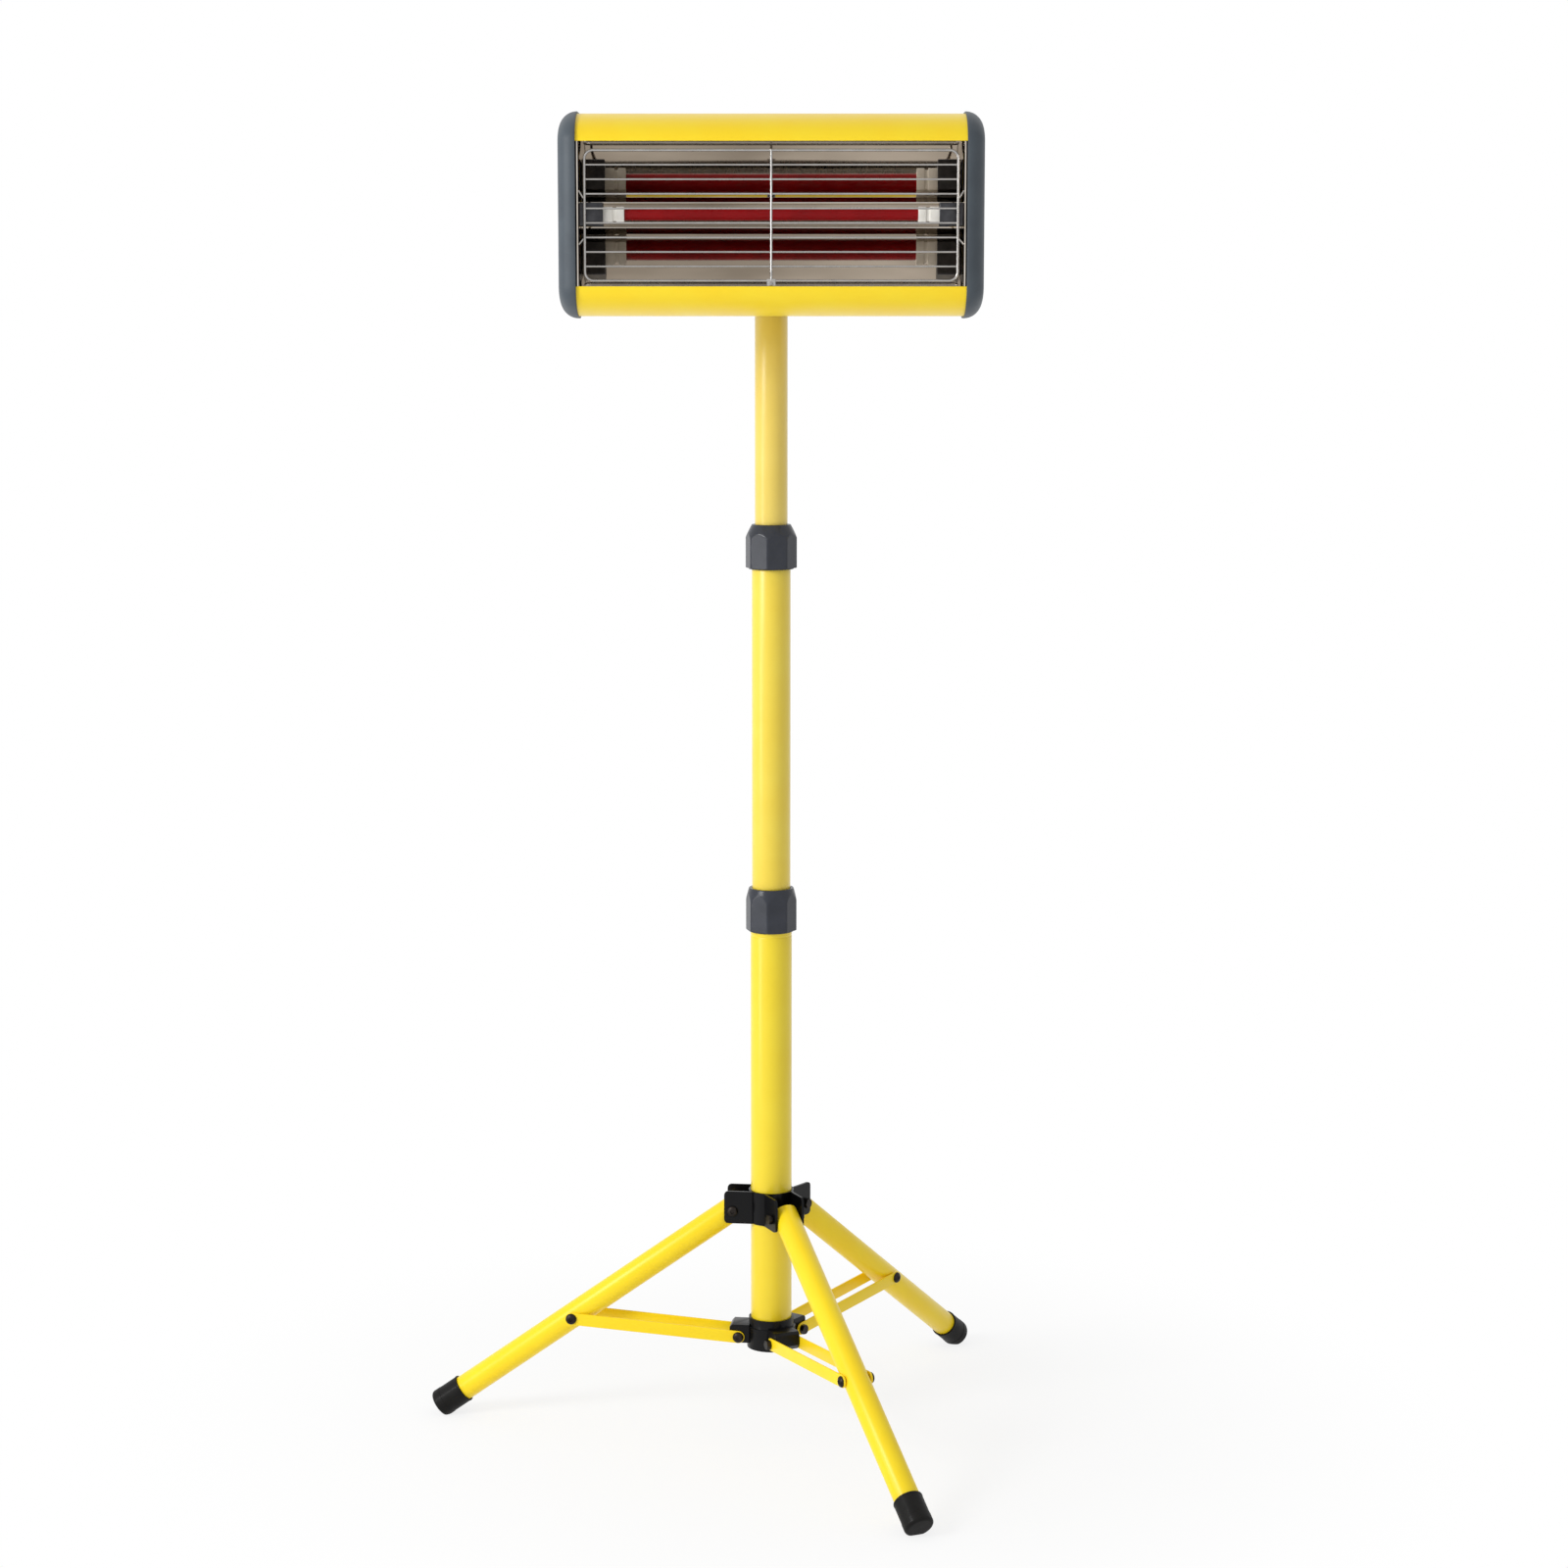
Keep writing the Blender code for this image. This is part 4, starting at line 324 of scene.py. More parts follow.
mast_top_yellow = powder_coat("powder_coat_pale_yellow", ("#ECD164", "#E8CC5C"))
mast_middle_yellow = powder_coat("powder_coat_soft_yellow", ("#F1D74A", "#EFD242"))
mast_base_yellow = powder_coat("powder_coat_clear_yellow", ("#F3D92A", "#F1D522"))
leg_yellow = powder_coat("powder_coat_lemon_yellow", ("#FFE022", "#FFDC1C"), sockets=DULL_SATIN)
casing_yellow = powder_coat("powder_coat_warm_yellow", ("#FFDF2A", "#FFDB24"), sockets=DULL_SATIN)
black_coat = powder_coat("powder_coat_black", ("#0C0C0E", "#08080A"), (0.22, 0.36), DEEP_BLACK)
print("six powder coats, orange peel", ORANGE_PEEL, "mm")

# %% [markdown]
# **Moulded plastics and rubber.** The end caps are slate grey nylon from a spark-eroded mould,
# whose grain is about half a millimetre. The collars are a smoother charcoal nylon, the knobs,
# the lower hub, the switch and the gland black nylon, and the rocker glossy red polycarbonate.
# The feet are matte rubber, which is never quite black.

# %% Mix the plastics and the rubber
MATTE = {"Specular IOR Level": 0.3}


def moulded(name, shades, gloss, patch, grain, relief, sockets=None):
    return finish(f"moulded_{name}", shades, gloss, patch, grain, relief, sockets=sockets)


slate_nylon = moulded("slate_nylon", ("#4C545B", "#454C53"), (0.42, 0.54), 30, 0.6, 0.006, MATTE)
charcoal_nylon = moulded("charcoal_nylon", ("#32353E", "#2C2F37"), (0.2, 0.3), 20, 0.7, 0.003, MATTE)
black_nylon = moulded("black_nylon", ("#0E0E10", "#0A0A0C"), (0.24, 0.38), 20, 0.6, 0.005, DEEP_BLACK)
red_polycarbonate = moulded("red_polycarbonate", ("#C21A1C", "#B81518"), (0.12, 0.2), 10, 1.0, 0.002)
rubber = moulded("black_rubber", ("#12110F", "#0D0C0B"), (0.5, 0.65), 8, 0.8, 0.008, DEEP_BLACK)
print("plastics:", slate_nylon.name, charcoal_nylon.name, black_nylon.name)

# %% [markdown]
# ** Metals.** The reflector is anodised mirror aluminium. Rolled sheet is never quite flat, so
# shallow waves a few centimetres apart bend what it shows. Its base colour runs in long light
# and dark streaks along the lamp: partly the sheet's own haze, partly a painted reflection of
# soft light and dark around it. The guard is chromed wire, the tilt bolt zinc plated, the small
# bolts black oxide, the lamp holders dull spring steel and the coil bare tungsten. A metal shows
# the world more than its own colour, and its base colour sets how much.

# %% Mix the metals
METAL = {"Metallic": 1.0}
ALONG_LAMP = (0.2, 1, 1)
MIRROR_GLOSS = (0.015, 0.035)


def metal(name, shades, gloss, patch, grain, relief, stretch=(1, 1, 1)):
    return finish(name, shades, gloss, patch, grain, relief, stretch, METAL)


# The reflector's two shades, stretched along the lamp, are partly real haze and partly painted reflection streaks.
haze_and_painted_reflection_shades = ("#D2CAC0", "#ACA49A")
mirror_aluminium = metal("mirror_aluminium", haze_and_painted_reflection_shades, MIRROR_GLOSS, 55, 40.0, 0.08, ALONG_LAMP)
chrome = metal("chromed_wire", ("#B0AEAC", "#A5A3A1"), (0.22, 0.32), 12, 1.5, 0.001)
zinc = metal("zinc_plate", ("#C9C9C2", "#BDBEBC"), (0.24, 0.38), 6, 1.0, 0.004)
black_oxide = metal("black_oxide", ("#37322F", "#2A2725"), (0.3, 0.45), 5, 0.8, 0.004)
spring_steel = metal("spring_steel", ("#4B4B4E", "#3E3E41"), (0.3, 0.45), 8, 1.2, 0.004)
tungsten = metal("tungsten_wire", ("#8E8A86", "#7C7975"), (0.3, 0.4), 4, 0.3, 0.001)
print("metals:", mirror_aluminium.name, chrome.name, zinc.name, black_oxide.name)

# %% [markdown]
# **Quartz and ceramic.** The tube is quartz glass with a ruby coating that holds back visible
# light. It is partly clear, so the coil inside shows as a shadow. The ends are white steatite,
# a ceramic with a fine unglazed grain.

# %% Mix the quartz and the ceramic
QUARTZ = {"Transmission Weight": 0.28, "IOR": 1.46, "Specular IOR Level": 0.05}
ruby_shades = ("#A80810", "#9C060D")
ruby_quartz = finish("ruby_quartz", ruby_shades, (0.04, 0.08), 25, 4.0, 0.001, sockets=QUARTZ)
steatite = finish("white_steatite", ("#F6F3EC", "#EFEBE2"), (0.45, 0.6), 6, 0.5, 0.01)
print("glass:", ruby_quartz.name, "ceramic:", steatite.name)

# %% [markdown]
# ## Shapes
#
# Nearly every piece here is turned, extruded, lofted or bent from wire, and one helper makes
# each kind with Blender's own operators. Turning comes first, because the mast, its collars and
# the legs are all round. One more helper rounds the edges, since a real edge always catches a
# thin line of light. The other kinds follow where a piece first needs them.

# %% Helpers for shapes
MERGE = 0.000001
SHARP = math.radians(32)
RIM_ONLY = math.radians(60)


def arc(centre, radius_a, radius_b, start, end, steps):
    """Points on an ellipse's arc, from start to end in degrees, with both ends."""
    points = []
    for step in range(steps + 1):
        angle = math.radians(start + (end - start) * step / steps)
        a, b = radius_a * math.cos(angle), radius_b * math.sin(angle)
        points.append((centre[0] + a, centre[1] + b))
    return points


def rectangle(low_a, high_a, low_b, high_b):
    """The four corners of a rectangle, in order."""
    return [(low_a, low_b), (high_a, low_b), (high_a, high_b), (low_a, high_b)]


def turned(profile, steps=64, ring=False):
    """A profile of (radius, height) spun about Z. A ring's profile is a closed outline."""
    bm = bmesh.new()
    verts = [bm.verts.new((radius, 0, height)) for radius, height in profile]
    following = verts[1:] + verts[:1] if ring else verts[1:]
    edges = [bm.edges.new(pair) for pair in zip(verts, following)]
    bmesh.ops.spin(
        bm,
        geom=verts + edges,
        cent=(0, 0, 0),
        axis=(0, 0, 1),
        angle=2 * math.pi,
        steps=steps,
        use_merge=True,
    )
    bmesh.ops.remove_doubles(bm, verts=bm.verts, dist=MERGE)
    return bm


def soften(bm, width, segments=2, least=SHARP):
    """Rounds every edge that is sharper than least."""
    bmesh.ops.remove_doubles(bm, verts=bm.verts, dist=MERGE)
    bmesh.ops.recalc_face_normals(bm, faces=bm.faces)
    edges = [e for e in bm.edges if len(e.link_faces) == 2 and e.calc_face_angle() > least]
    bmesh.ops.bevel(
        bm,
        geom=edges,
        offset=width,
        offset_type="OFFSET",
        segments=segments,
        profile=0.5,
        affect="EDGES",
        material=-1,
        clamp_overlap=True,
    )
    return bm


def moved(bm, matrix):
    bmesh.ops.transform(bm, matrix=matrix, verts=bm.verts)
    return bm


print("shape helpers: arc, rectangle, turned, soften, moved")

# %% [markdown]
# A finished piece goes into the scene in one call. It gets its material, rides on the body of
# the node that it stands for, and hides that node. Its place is in its mesh, so its object
# stays at the origin.

# %% A helper for pieces
def make_piece(name, bm, material, nodes=(), near=None):
    """Adds a mesh as a piece in place of nodes, or beside the node named near."""
    bmesh.ops.remove_doubles(bm, verts=bm.verts, dist=MERGE)
    bmesh.ops.recalc_face_normals(bm, faces=bm.faces)
    mesh = as_mesh(name, bm)
    mesh.materials.append(material)
    mesh.shade_smooth()
    mesh.set_sharp_from_angle(angle=SHARP)
    obj = put_in_scene(name, mesh)
    nodes = (nodes,) if isinstance(nodes, str) else nodes
    anchor = near or nodes[0]
    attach(obj, home[anchor])
    if nodes:
        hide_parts(*nodes)
    return obj


print("piece helper: make_piece")

# %% [markdown]
# ## Mast
#
# The mast is three steel tubes, each sliding in the one below. Turning a ring profile gives a
# tube with its real wall, so that it also looks right from above or drawn out. A shallow
# groove is rolled into the base tube just under its collar, where the clamp sleeve seats.

# %% Turn the three tubes
TUBE_WALL = 0.0012
TUBE_STEPS = 96
GROOVE_BELOW_NUT = 0.0045
GROOVE_WIDTH = 0.0016
GROOVE_DEPTH = 0.0004
GROOVE_STEPS = 6
TUBE_EDGE = 0.0003


def tube_size(node):
    """(radius, lowest, highest) of an upright tube."""
    low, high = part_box(node)
    return (high.x - low.x) / 2, low.z, high.z


def mast_tube(name, node, material, groove=None):
    radius, low, high = tube_size(node)
    wall = rectangle(radius - TUBE_WALL, radius, low, high)
    if groove:
        hollow = arc((radius, -groove), GROOVE_DEPTH, GROOVE_WIDTH / 2, 90, 270, GROOVE_STEPS)
        wall[2:2] = [(reach, -height) for reach, height in hollow]
    bm = soften(turned(wall, TUBE_STEPS, ring=True), TUBE_EDGE, least=RIM_ONLY)
    make_piece(name, moved(bm, Matrix.Translation(mast)), material, node)
    print(f"{name}: {2000 * radius:.1f} mm across, {1000 * (high - low):.0f} mm long")


nut_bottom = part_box("lower_collar_nut")[0].z
groove_height = nut_bottom - GROOVE_BELOW_NUT - GROOVE_WIDTH / 2
mast_tube("base_tube", "mast_base_tube", mast_base_yellow, groove_height)
mast_tube("middle_tube", "mast_middle_tube", mast_middle_yellow)
mast_tube("top_tube", "mast_top_tube", mast_top_yellow)

# %% [markdown]
# ## Locking collars
#
# A collar is a split sleeve on a tube's end under an eight-sided nut. The nut's flats end in
# arches, because its top is turned to a rounded shoulder. It is made the same way: turned round
# first, then each point that lies outside the octagon is drawn in to the flat. A small round on
# each corner carries the pale line that shows there.

# %% A helper for flats
def draw_in_to_flats(bm, radius, sides, fillet=0.0):
    """Moves what is outside a polygon in to its flats and to the round on its corners."""
    half = math.pi / sides
    flat = radius * math.cos(half)
    centre = (flat - fillet) / math.cos(half)
    tangent = math.atan((flat - fillet) * math.tan(half) / flat)
    for vert in bm.verts:
        angle = abs(math.atan2(vert.co.y, vert.co.x) % (2 * half) - half)
        most = flat / math.cos(angle)
        if angle > tangent:
            off = half - angle
            most = centre * math.cos(off) + math.sqrt(fillet**2 - (centre * math.sin(off)) ** 2)
        reach = math.hypot(vert.co.x, vert.co.y)
        if reach > most:
            vert.co.x *= most / reach
            vert.co.y *= most / reach


print("helper for flats: draw_in_to_flats, for the collars and for the hex nuts")

# %% [markdown]
# The sleeve has two bores, a wide one round the outer tube and a narrow one round the inner
# tube. The nut's profile starts at its own bore, goes round the bottom edge, and then leans in
# row by row up the shoulder to its rim.

# %% Make the collars
COLLAR_RADIUS = 0.0256
COLLAR_SIDES = 8
COLLAR_PHASE = math.radians(-98)
COLLAR_SHOULDER = 0.0142
SHOULDER_SQUARENESS = 1.2
COLLAR_FILLET = 0.003
COLLAR_EDGE = 0.0008
COLLAR_RIM_WALL = 0.003
FIT = 0.0003
EDGE_STEPS = 4
SHOULDER_ROWS = 16
STEPS_PER_FLAT = 40


def collar(name, outer_tube, inner_tube):
    outer_radius, _, tube_top = tube_size(outer_tube)
    inner_radius = tube_size(inner_tube)[0]
    node = f"{name}_collar_sleeve"
    sleeve_radius, sleeve_low, sleeve_high = tube_size(node)
    wide, narrow = outer_radius + FIT, inner_radius + FIT
    sleeve = [
        (wide, sleeve_low),
        (sleeve_radius, sleeve_low),
        (sleeve_radius, sleeve_high),
        (narrow, sleeve_high),
        (narrow, tube_top + FIT),
        (wide, tube_top + FIT),
    ]
    bm = soften(turned(sleeve, TUBE_STEPS, ring=True), TUBE_EDGE)
    make_piece(f"{name}_clamp_sleeve", moved(bm, Matrix.Translation(mast)), charcoal_nylon, node)

    low, high = (corner.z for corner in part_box(f"{name}_collar_nut"))
    shoulder = high - COLLAR_SHOULDER
    rim = narrow + COLLAR_RIM_WALL
    bore = sleeve_radius + FIT
    edge = COLLAR_EDGE
    profile = [(bore, low)]
    profile += arc((COLLAR_RADIUS - edge, low + edge), edge, edge, -90, 0, EDGE_STEPS)
    for row in range(SHOULDER_ROWS + 1):
        share = row / SHOULDER_ROWS
        radius = COLLAR_RADIUS + (rim - COLLAR_RADIUS) * share**SHOULDER_SQUARENESS
        profile.append((radius, shoulder + (high - edge / 2 - shoulder) * share))
    profile += [(rim - edge / 2, high), (narrow, high)]
    profile += [(narrow, sleeve_high + FIT), (bore, sleeve_high + FIT)]
    bm = turned(profile, COLLAR_SIDES * STEPS_PER_FLAT, ring=True)
    draw_in_to_flats(bm, COLLAR_RADIUS, COLLAR_SIDES, COLLAR_FILLET)
    place = Matrix.Translation(mast) @ Matrix.Rotation(COLLAR_PHASE, 4, "Z")
    make_piece(f"{name}_twist_nut", moved(bm, place), charcoal_nylon, f"{name}_collar_nut")
    print(f"{name} collar: {1000 * (high - low):.1f} mm tall, {COLLAR_SIDES} flats")


collar("lower", "mast_base_tube", "mast_middle_tube")
collar("upper", "mast_middle_tube", "mast_top_tube")

# %% [markdown]
# ## Legs and feet
#
# A leg is a straight tube that hinges in the upper hub, with a rubber cap on its foot. The cap
# is turned. It has a soft lip at its mouth, a shallow step below, a well rounded end, and a worn
# flat where it stands, which is cut off at the floor with bisect_plane.

# %% Shape the foot caps
LEG_RADIUS = 0.0127
LEG_REACH = 0.3757
CAP_BASE = 0.006
CAP_LENGTH = 0.032
CAP_RADIUS = 0.0145
CAP_ROUND = 0.0035
CAP_LIP = 0.0022
CAP_STEP = 0.0003
CAP_STEP_SHARE = 0.68
CAP_LIP_STEPS = 6
CAP_ROUND_STEPS = 8


def foot_profile():
    bore, mouth = LEG_RADIUS + FIT, LEG_REACH - CAP_LENGTH
    floor_in = LEG_REACH - CAP_BASE
    step = mouth + CAP_LENGTH * CAP_STEP_SHARE
    lip = (CAP_RADIUS - CAP_STEP, mouth + CAP_LIP / 2)
    end = (CAP_RADIUS - CAP_ROUND, LEG_REACH - CAP_ROUND)
    return [
        (0, floor_in),
        (bore, floor_in),
        (bore, mouth),
        *arc(lip, CAP_STEP, CAP_LIP / 2, -90, 90, CAP_LIP_STEPS),
        (CAP_RADIUS - CAP_STEP, step),
        (CAP_RADIUS, step + CAP_STEP),
        *arc(end, CAP_ROUND, CAP_ROUND, 0, 90, CAP_ROUND_STEPS),
        (0, LEG_REACH),
    ]


def elements(bm):
    """Every vertex, edge and face, in the one list that most operators take."""
    return list(bm.verts) + list(bm.edges) + list(bm.faces)


def cut_at_floor(bm):
    """Cuts off what is below z = 0 and closes the cut."""
    down = (0, 0, -1)
    bmesh.ops.bisect_plane(bm, geom=elements(bm), dist=MERGE, plane_no=down, clear_outer=True)
    bmesh.ops.edgeloop_fill(bm, edges=[edge for edge in bm.edges if edge.is_boundary])
    return bm


print(f"foot cap: {len(foot_profile())} points in its profile")

# %% [markdown]
# A leg and its cap are turned about Z and laid along +X. Then they go into a frame that stands
# at the hinge, points away from the mast and leans down.

# %% Make the legs and the feet
LEG_NAMES = ("left", "front", "rear")
LEG_SLOPE = math.radians(35.46)
LEG_PAST_PIVOT = 0.006
TO_X = Matrix.Rotation(math.pi / 2, 4, "Y")


def outward(joint):
    """A frame at a joint of the tripod, with +X pointing away from the mast."""
    place = Vector(joints[joint]["pos_m"])
    azimuth = math.atan2(place.y - mast.y, place.x - mast.x)
    return Matrix.Translation(place) @ Matrix.Rotation(azimuth, 4, "Z")


for name in LEG_NAMES:
    down = outward(f"leg_fold_{name}") @ Matrix.Rotation(LEG_SLOPE, 4, "Y")
    end = LEG_REACH - CAP_BASE - FIT
    wall = rectangle(LEG_RADIUS - TUBE_WALL, LEG_RADIUS, -LEG_PAST_PIVOT, end)
    bm = soften(turned(wall, ring=True), TUBE_EDGE, least=RIM_ONLY)
    make_piece(f"leg_{name}", moved(bm, down @ TO_X), leg_yellow, f"leg_tube_{name}")
    foot = cut_at_floor(moved(turned(foot_profile()), down @ TO_X))
    make_piece(f"foot_{name}", foot, rubber, f"foot_cap_{name}")
    print(f"leg {name}: hinge at {tuple(round(v, 4) for v in down.translation)}")

# %% [markdown]
# ## Bolts
#
# The hinges turn on button-head bolts with a dimple in the head and a hex nut behind. A head
# is an arc of an ellipse, turned, which stops where the dimple starts. A nut is a chamfered
# turning drawn in to six flats, the same trick as on the collars. A bolt and its nut make one
# piece of two closed bodies.

# %% Make the bolts
BOLT_RADIUS = 0.003
HEAD_RADIUS = 0.0056
HEAD_HEIGHT = 0.0032
HEAD_ARC = 72
DIMPLE_FLOOR_RADIUS = 0.00136
DIMPLE_DEPTH = 0.0010
BOLT_STEPS = 40
HEAD_ARC_STEPS = 8
NUT_RADIUS = 0.0052
NUT_HEIGHT = 0.0045
NUT_CHAMFER = 0.0006
NUT_STEPS = 60
SHANK_IN_NUT = 0.9
EAR_GRIP = 0.0155
STRIP_INNER = 0.0133
STRIP_THICKNESS = 0.002
STRIP_GRIP = STRIP_INNER + STRIP_THICKNESS
TO_Y = Matrix.Rotation(-math.pi / 2, 4, "X")


def joined(*parts):
    """Several meshes as one, each still a closed body of its own."""
    whole = bmesh.new()
    for part in parts:
        mesh = as_mesh("part", part)
        whole.from_mesh(mesh)
        bpy.data.meshes.remove(mesh)
    return whole


def button_head(grip, shank_from):
    """A domed head above grip on a shank that starts at shank_from, along +Z."""
    base = grip + FIT
    floor = base + HEAD_HEIGHT - DIMPLE_DEPTH
    profile = [(0, shank_from), (BOLT_RADIUS, shank_from), (BOLT_RADIUS, base)]
    profile += arc((0, base), HEAD_RADIUS, HEAD_HEIGHT, 0, HEAD_ARC, HEAD_ARC_STEPS)
    return turned(profile + [(DIMPLE_FLOOR_RADIUS, floor), (0, floor)], BOLT_STEPS)


def hex_nut(top, height=NUT_HEIGHT, radius=NUT_RADIUS, chamfer=NUT_CHAMFER):
    low = top - height
    profile = [(0, low), (radius - chamfer, low), (radius, low + chamfer)]
    profile += [(radius, top - chamfer), (radius - chamfer, top), (0, top)]
    bm = turned(profile, NUT_STEPS)
    draw_in_to_flats(bm, radius, sides=6)
    return bm


for name in LEG_NAMES:
    for joint, grip, node in (
        ("leg_fold", EAR_GRIP, "leg_pivot_bolt"),
        ("brace_swing", STRIP_GRIP, "brace_hub_bolt"),
    ):
        behind = -grip - FIT
        bolt = joined(button_head(grip, behind - NUT_HEIGHT * SHANK_IN_NUT), hex_nut(behind))
        place = outward(f"{joint}_{name}") @ TO_Y
        make_piece(f"{joint}_bolt_{name}", moved(bolt, place), black_oxide, f"{node}_{name}")
print(f"bolts: {2000 * BOLT_RADIUS:.0f} mm shank, {2000 * HEAD_RADIUS:.1f} mm head")

# %% [markdown]
# ## Braces
#
# A pair of flat steel strips ties each leg to the lower hub. A strip is an outline with round
# ends, extruded to its thickness, with a rounded edge all the way. Its slope and its length
# follow from the two points that it joins: the bolt in the lower hub, and the point on the leg.

# %% Make the braces
BRACE_HEIGHT = 0.0125
BRACE_POINT_SHARE = 0.5408
STRIP_EDGE = 0.0006
STRIP_END_STEPS = 20


def slab(outline, low, high, along):
    """An outline pushed from low to high along X (y, z), Y (x, z) or Z (x, y)."""
    order = {"X": (2, 0, 1), "Y": (0, 2, 1), "Z": (0, 1, 2)}[along]
    bm = bmesh.new()
    corners = [(a, b, low) for a, b in outline]
    verts = [bm.verts.new([corner[index] for index in order]) for corner in corners]
    pushed = bmesh.ops.extrude_face_region(bm, geom=[bm.faces.new(verts)])["geom"]
    far = [element for element in pushed if isinstance(element, bmesh.types.BMVert)]
    step = [(0, 0, high - low)[index] for index in order]
    bmesh.ops.translate(bm, vec=step, verts=far)
    return bm


def brace_direction(name):
    """(slope, length) of a brace from its hub bolt to its point on the leg."""
    hinge = Vector(joints[f"leg_fold_{name}"]["pos_m"])
    foot = Vector(joints[f"brace_swing_{name}"]["pos_m"])
    reach = LEG_REACH * BRACE_POINT_SHARE
    out = (hinge.xy - mast.xy).length + reach * math.cos(LEG_SLOPE) - (foot.xy - mast.xy).length
    rise = hinge.z - reach * math.sin(LEG_SLOPE) - foot.z
    return math.atan2(rise, out), math.hypot(rise, out)


for name in LEG_NAMES:
    slope, length = brace_direction(name)
    lie = outward(f"brace_swing_{name}") @ Matrix.Rotation(-slope, 4, "Y")
    half = BRACE_HEIGHT / 2
    outline = arc((0, 0), half, half, 90, 270, STRIP_END_STEPS)
    outline += arc((length, 0), half, half, -90, 90, STRIP_END_STEPS)
    for side, letter in ((-1, "a"), (1, "b")):
        ending = f"{name}_{letter}"
        strip = soften(slab(outline, side * STRIP_INNER, side * STRIP_GRIP, "Y"), STRIP_EDGE, 3)
        make_piece(f"strip_{ending}", moved(strip, lie), leg_yellow, f"brace_{ending}")
        turn = TO_Y if side > 0 else Matrix.Rotation(math.pi, 4, "X") @ TO_Y
        place = lie @ Matrix.Translation((length, 0, 0)) @ turn
        pin = moved(button_head(STRIP_GRIP, LEG_RADIUS + FIT), place)
        make_piece(f"strip_pin_{ending}", pin, black_oxide, f"brace_pin_{ending}")
    print(f"brace {name}: {1000 * length:.1f} mm, rising {math.degrees(slope):.2f} degrees")

# %% [markdown]
# ## Hubs, swivel and bracket
#
# These four are pressed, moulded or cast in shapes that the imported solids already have, so a
# merged copy of each gets rounded edges from a live Bevel. The upper hub and the bracket are
# pressed steel and take a small radius. The lower hub and the swivel are moulded, with softer
# edges.

# %% Dress the hubs, the swivel and the bracket
HUB_EDGE = 0.0006
BRACKET_EDGE = 0.0005
LUG_EDGE = 0.0009
SWIVEL_EDGE = 0.0010
ONE_PLANE = math.radians(1)


def rounded(obj, width):
    modifier = obj.modifiers.new("rounded_edges", "BEVEL")
    modifier.width = width
    modifier.segments = 2
    modifier.limit_method = "ANGLE"
    modifier.angle_limit = SHARP
    modifier.harden_normals = False


def dressed(name, node, material, bevel):
    """A node's own shape, merged, with its flats made whole and its edges rounded."""
    bm = bmesh.new()
    bm.from_mesh(frame["nodes"][node].data)
    bmesh.ops.remove_doubles(bm, verts=bm.verts, dist=MERGE * 2)
    bmesh.ops.dissolve_limit(bm, angle_limit=ONE_PLANE, verts=bm.verts, edges=bm.edges)
    rounded(make_piece(name, bm, material, node), bevel)


dressed("pressed_hub", "upper_hub", black_coat, HUB_EDGE)
dressed("moulded_hub", "lower_hub", black_nylon, LUG_EDGE)
dressed("swivel_block", "head_swivel", black_nylon, SWIVEL_EDGE)
dressed("tilt_bracket", "rear_bracket", black_coat, BRACKET_EDGE)
print("dressed: upper hub, lower hub, swivel, bracket")

# %% [markdown]
# ## Knobs
#
# A lobed knob is a round slab whose radius ripples six times. Its top is dished: the end face
# is inset and pushed in a little, which leaves a rim for the thumb.

# %% Make the knobs
KNOB_LOBES = 6
KNOB_LOBE_SHARE = 0.09
KNOB_POINTS = 120
KNOB_EDGE = 0.0016
DISH_RIM_SHARE = 0.22
DISH_DEPTH = 0.0012
KNOB_LENGTH = 0.014
STUD_RADIUS = 0.003
STUD_IN_KNOB = 0.002


def lobed_knob(radius, low, high):
    outline = []
    for index in range(KNOB_POINTS):
        angle = 2 * math.pi * index / KNOB_POINTS
        reach = radius * (1 - KNOB_LOBE_SHARE * (1 - math.cos(KNOB_LOBES * angle)) / 2)
        outline.append((reach * math.cos(angle), reach * math.sin(angle)))
    bm = slab(outline, low, high, "Z")
    top = max(bm.faces, key=lambda face: face.calc_center_median().z)
    bmesh.ops.recalc_face_normals(bm, faces=bm.faces)
    bmesh.ops.inset_individual(bm, faces=[top], thickness=radius * DISH_RIM_SHARE)
    bmesh.ops.inset_individual(bm, faces=[top], thickness=DISH_DEPTH, depth=-DISH_DEPTH)
    return soften(bm, KNOB_EDGE, 4, RIM_ONLY)


def rod(radius, low, high, steps=32):
    return turned([(0, low), (radius, low), (radius, high), (0, high)], steps)


def clamp_knob(name, node, joint, azimuth):
    """A knob on a stud that reaches the tube it clamps."""
    place = Vector(joints[joint]["pos_m"])
    turn = Matrix.Translation(place) @ Matrix.Rotation(azimuth, 4, "Z") @ TO_X
    corners = [turn.inverted() @ vert.co for vert in frame["nodes"][node].data.vertices]
    heights = [corner.z for corner in corners]
    radius = max(corner.xy.length for corner in corners)
    low = max(heights) - KNOB_LENGTH
    stud = rod(STUD_RADIUS, min(heights), low + STUD_IN_KNOB)
    bm = joined(lobed_knob(radius, low, max(heights)), stud)
    make_piece(name, moved(bm, turn), black_nylon, node)
    print(f"{name}: {2000 * radius:.0f} mm across")


def along_lamp(node):
    """(lowest, highest) x of a node of the head, from the head's pivot."""
    low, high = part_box(node)
    return low.x - head.x, high.x - head.x


hub_axis = joints["hub_knob_turn"]["axis"]
clamp_knob("hub_knob_grip", "hub_lock_knob", "hub_knob_turn", math.atan2(hub_axis[1], hub_axis[0]))
clamp_knob("pan_knob_grip", "pan_lock_knob", "pan_knob_turn", math.pi / 2)
to_head = Matrix.Translation(head)
tilt_low, tilt_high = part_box("tilt_knob")
tilt_knob = lobed_knob((tilt_high.z - tilt_low.z) / 2, *along_lamp("tilt_knob"))
make_piece("tilt_knob_grip", moved(tilt_knob, to_head @ TO_X), black_nylon, "tilt_knob")

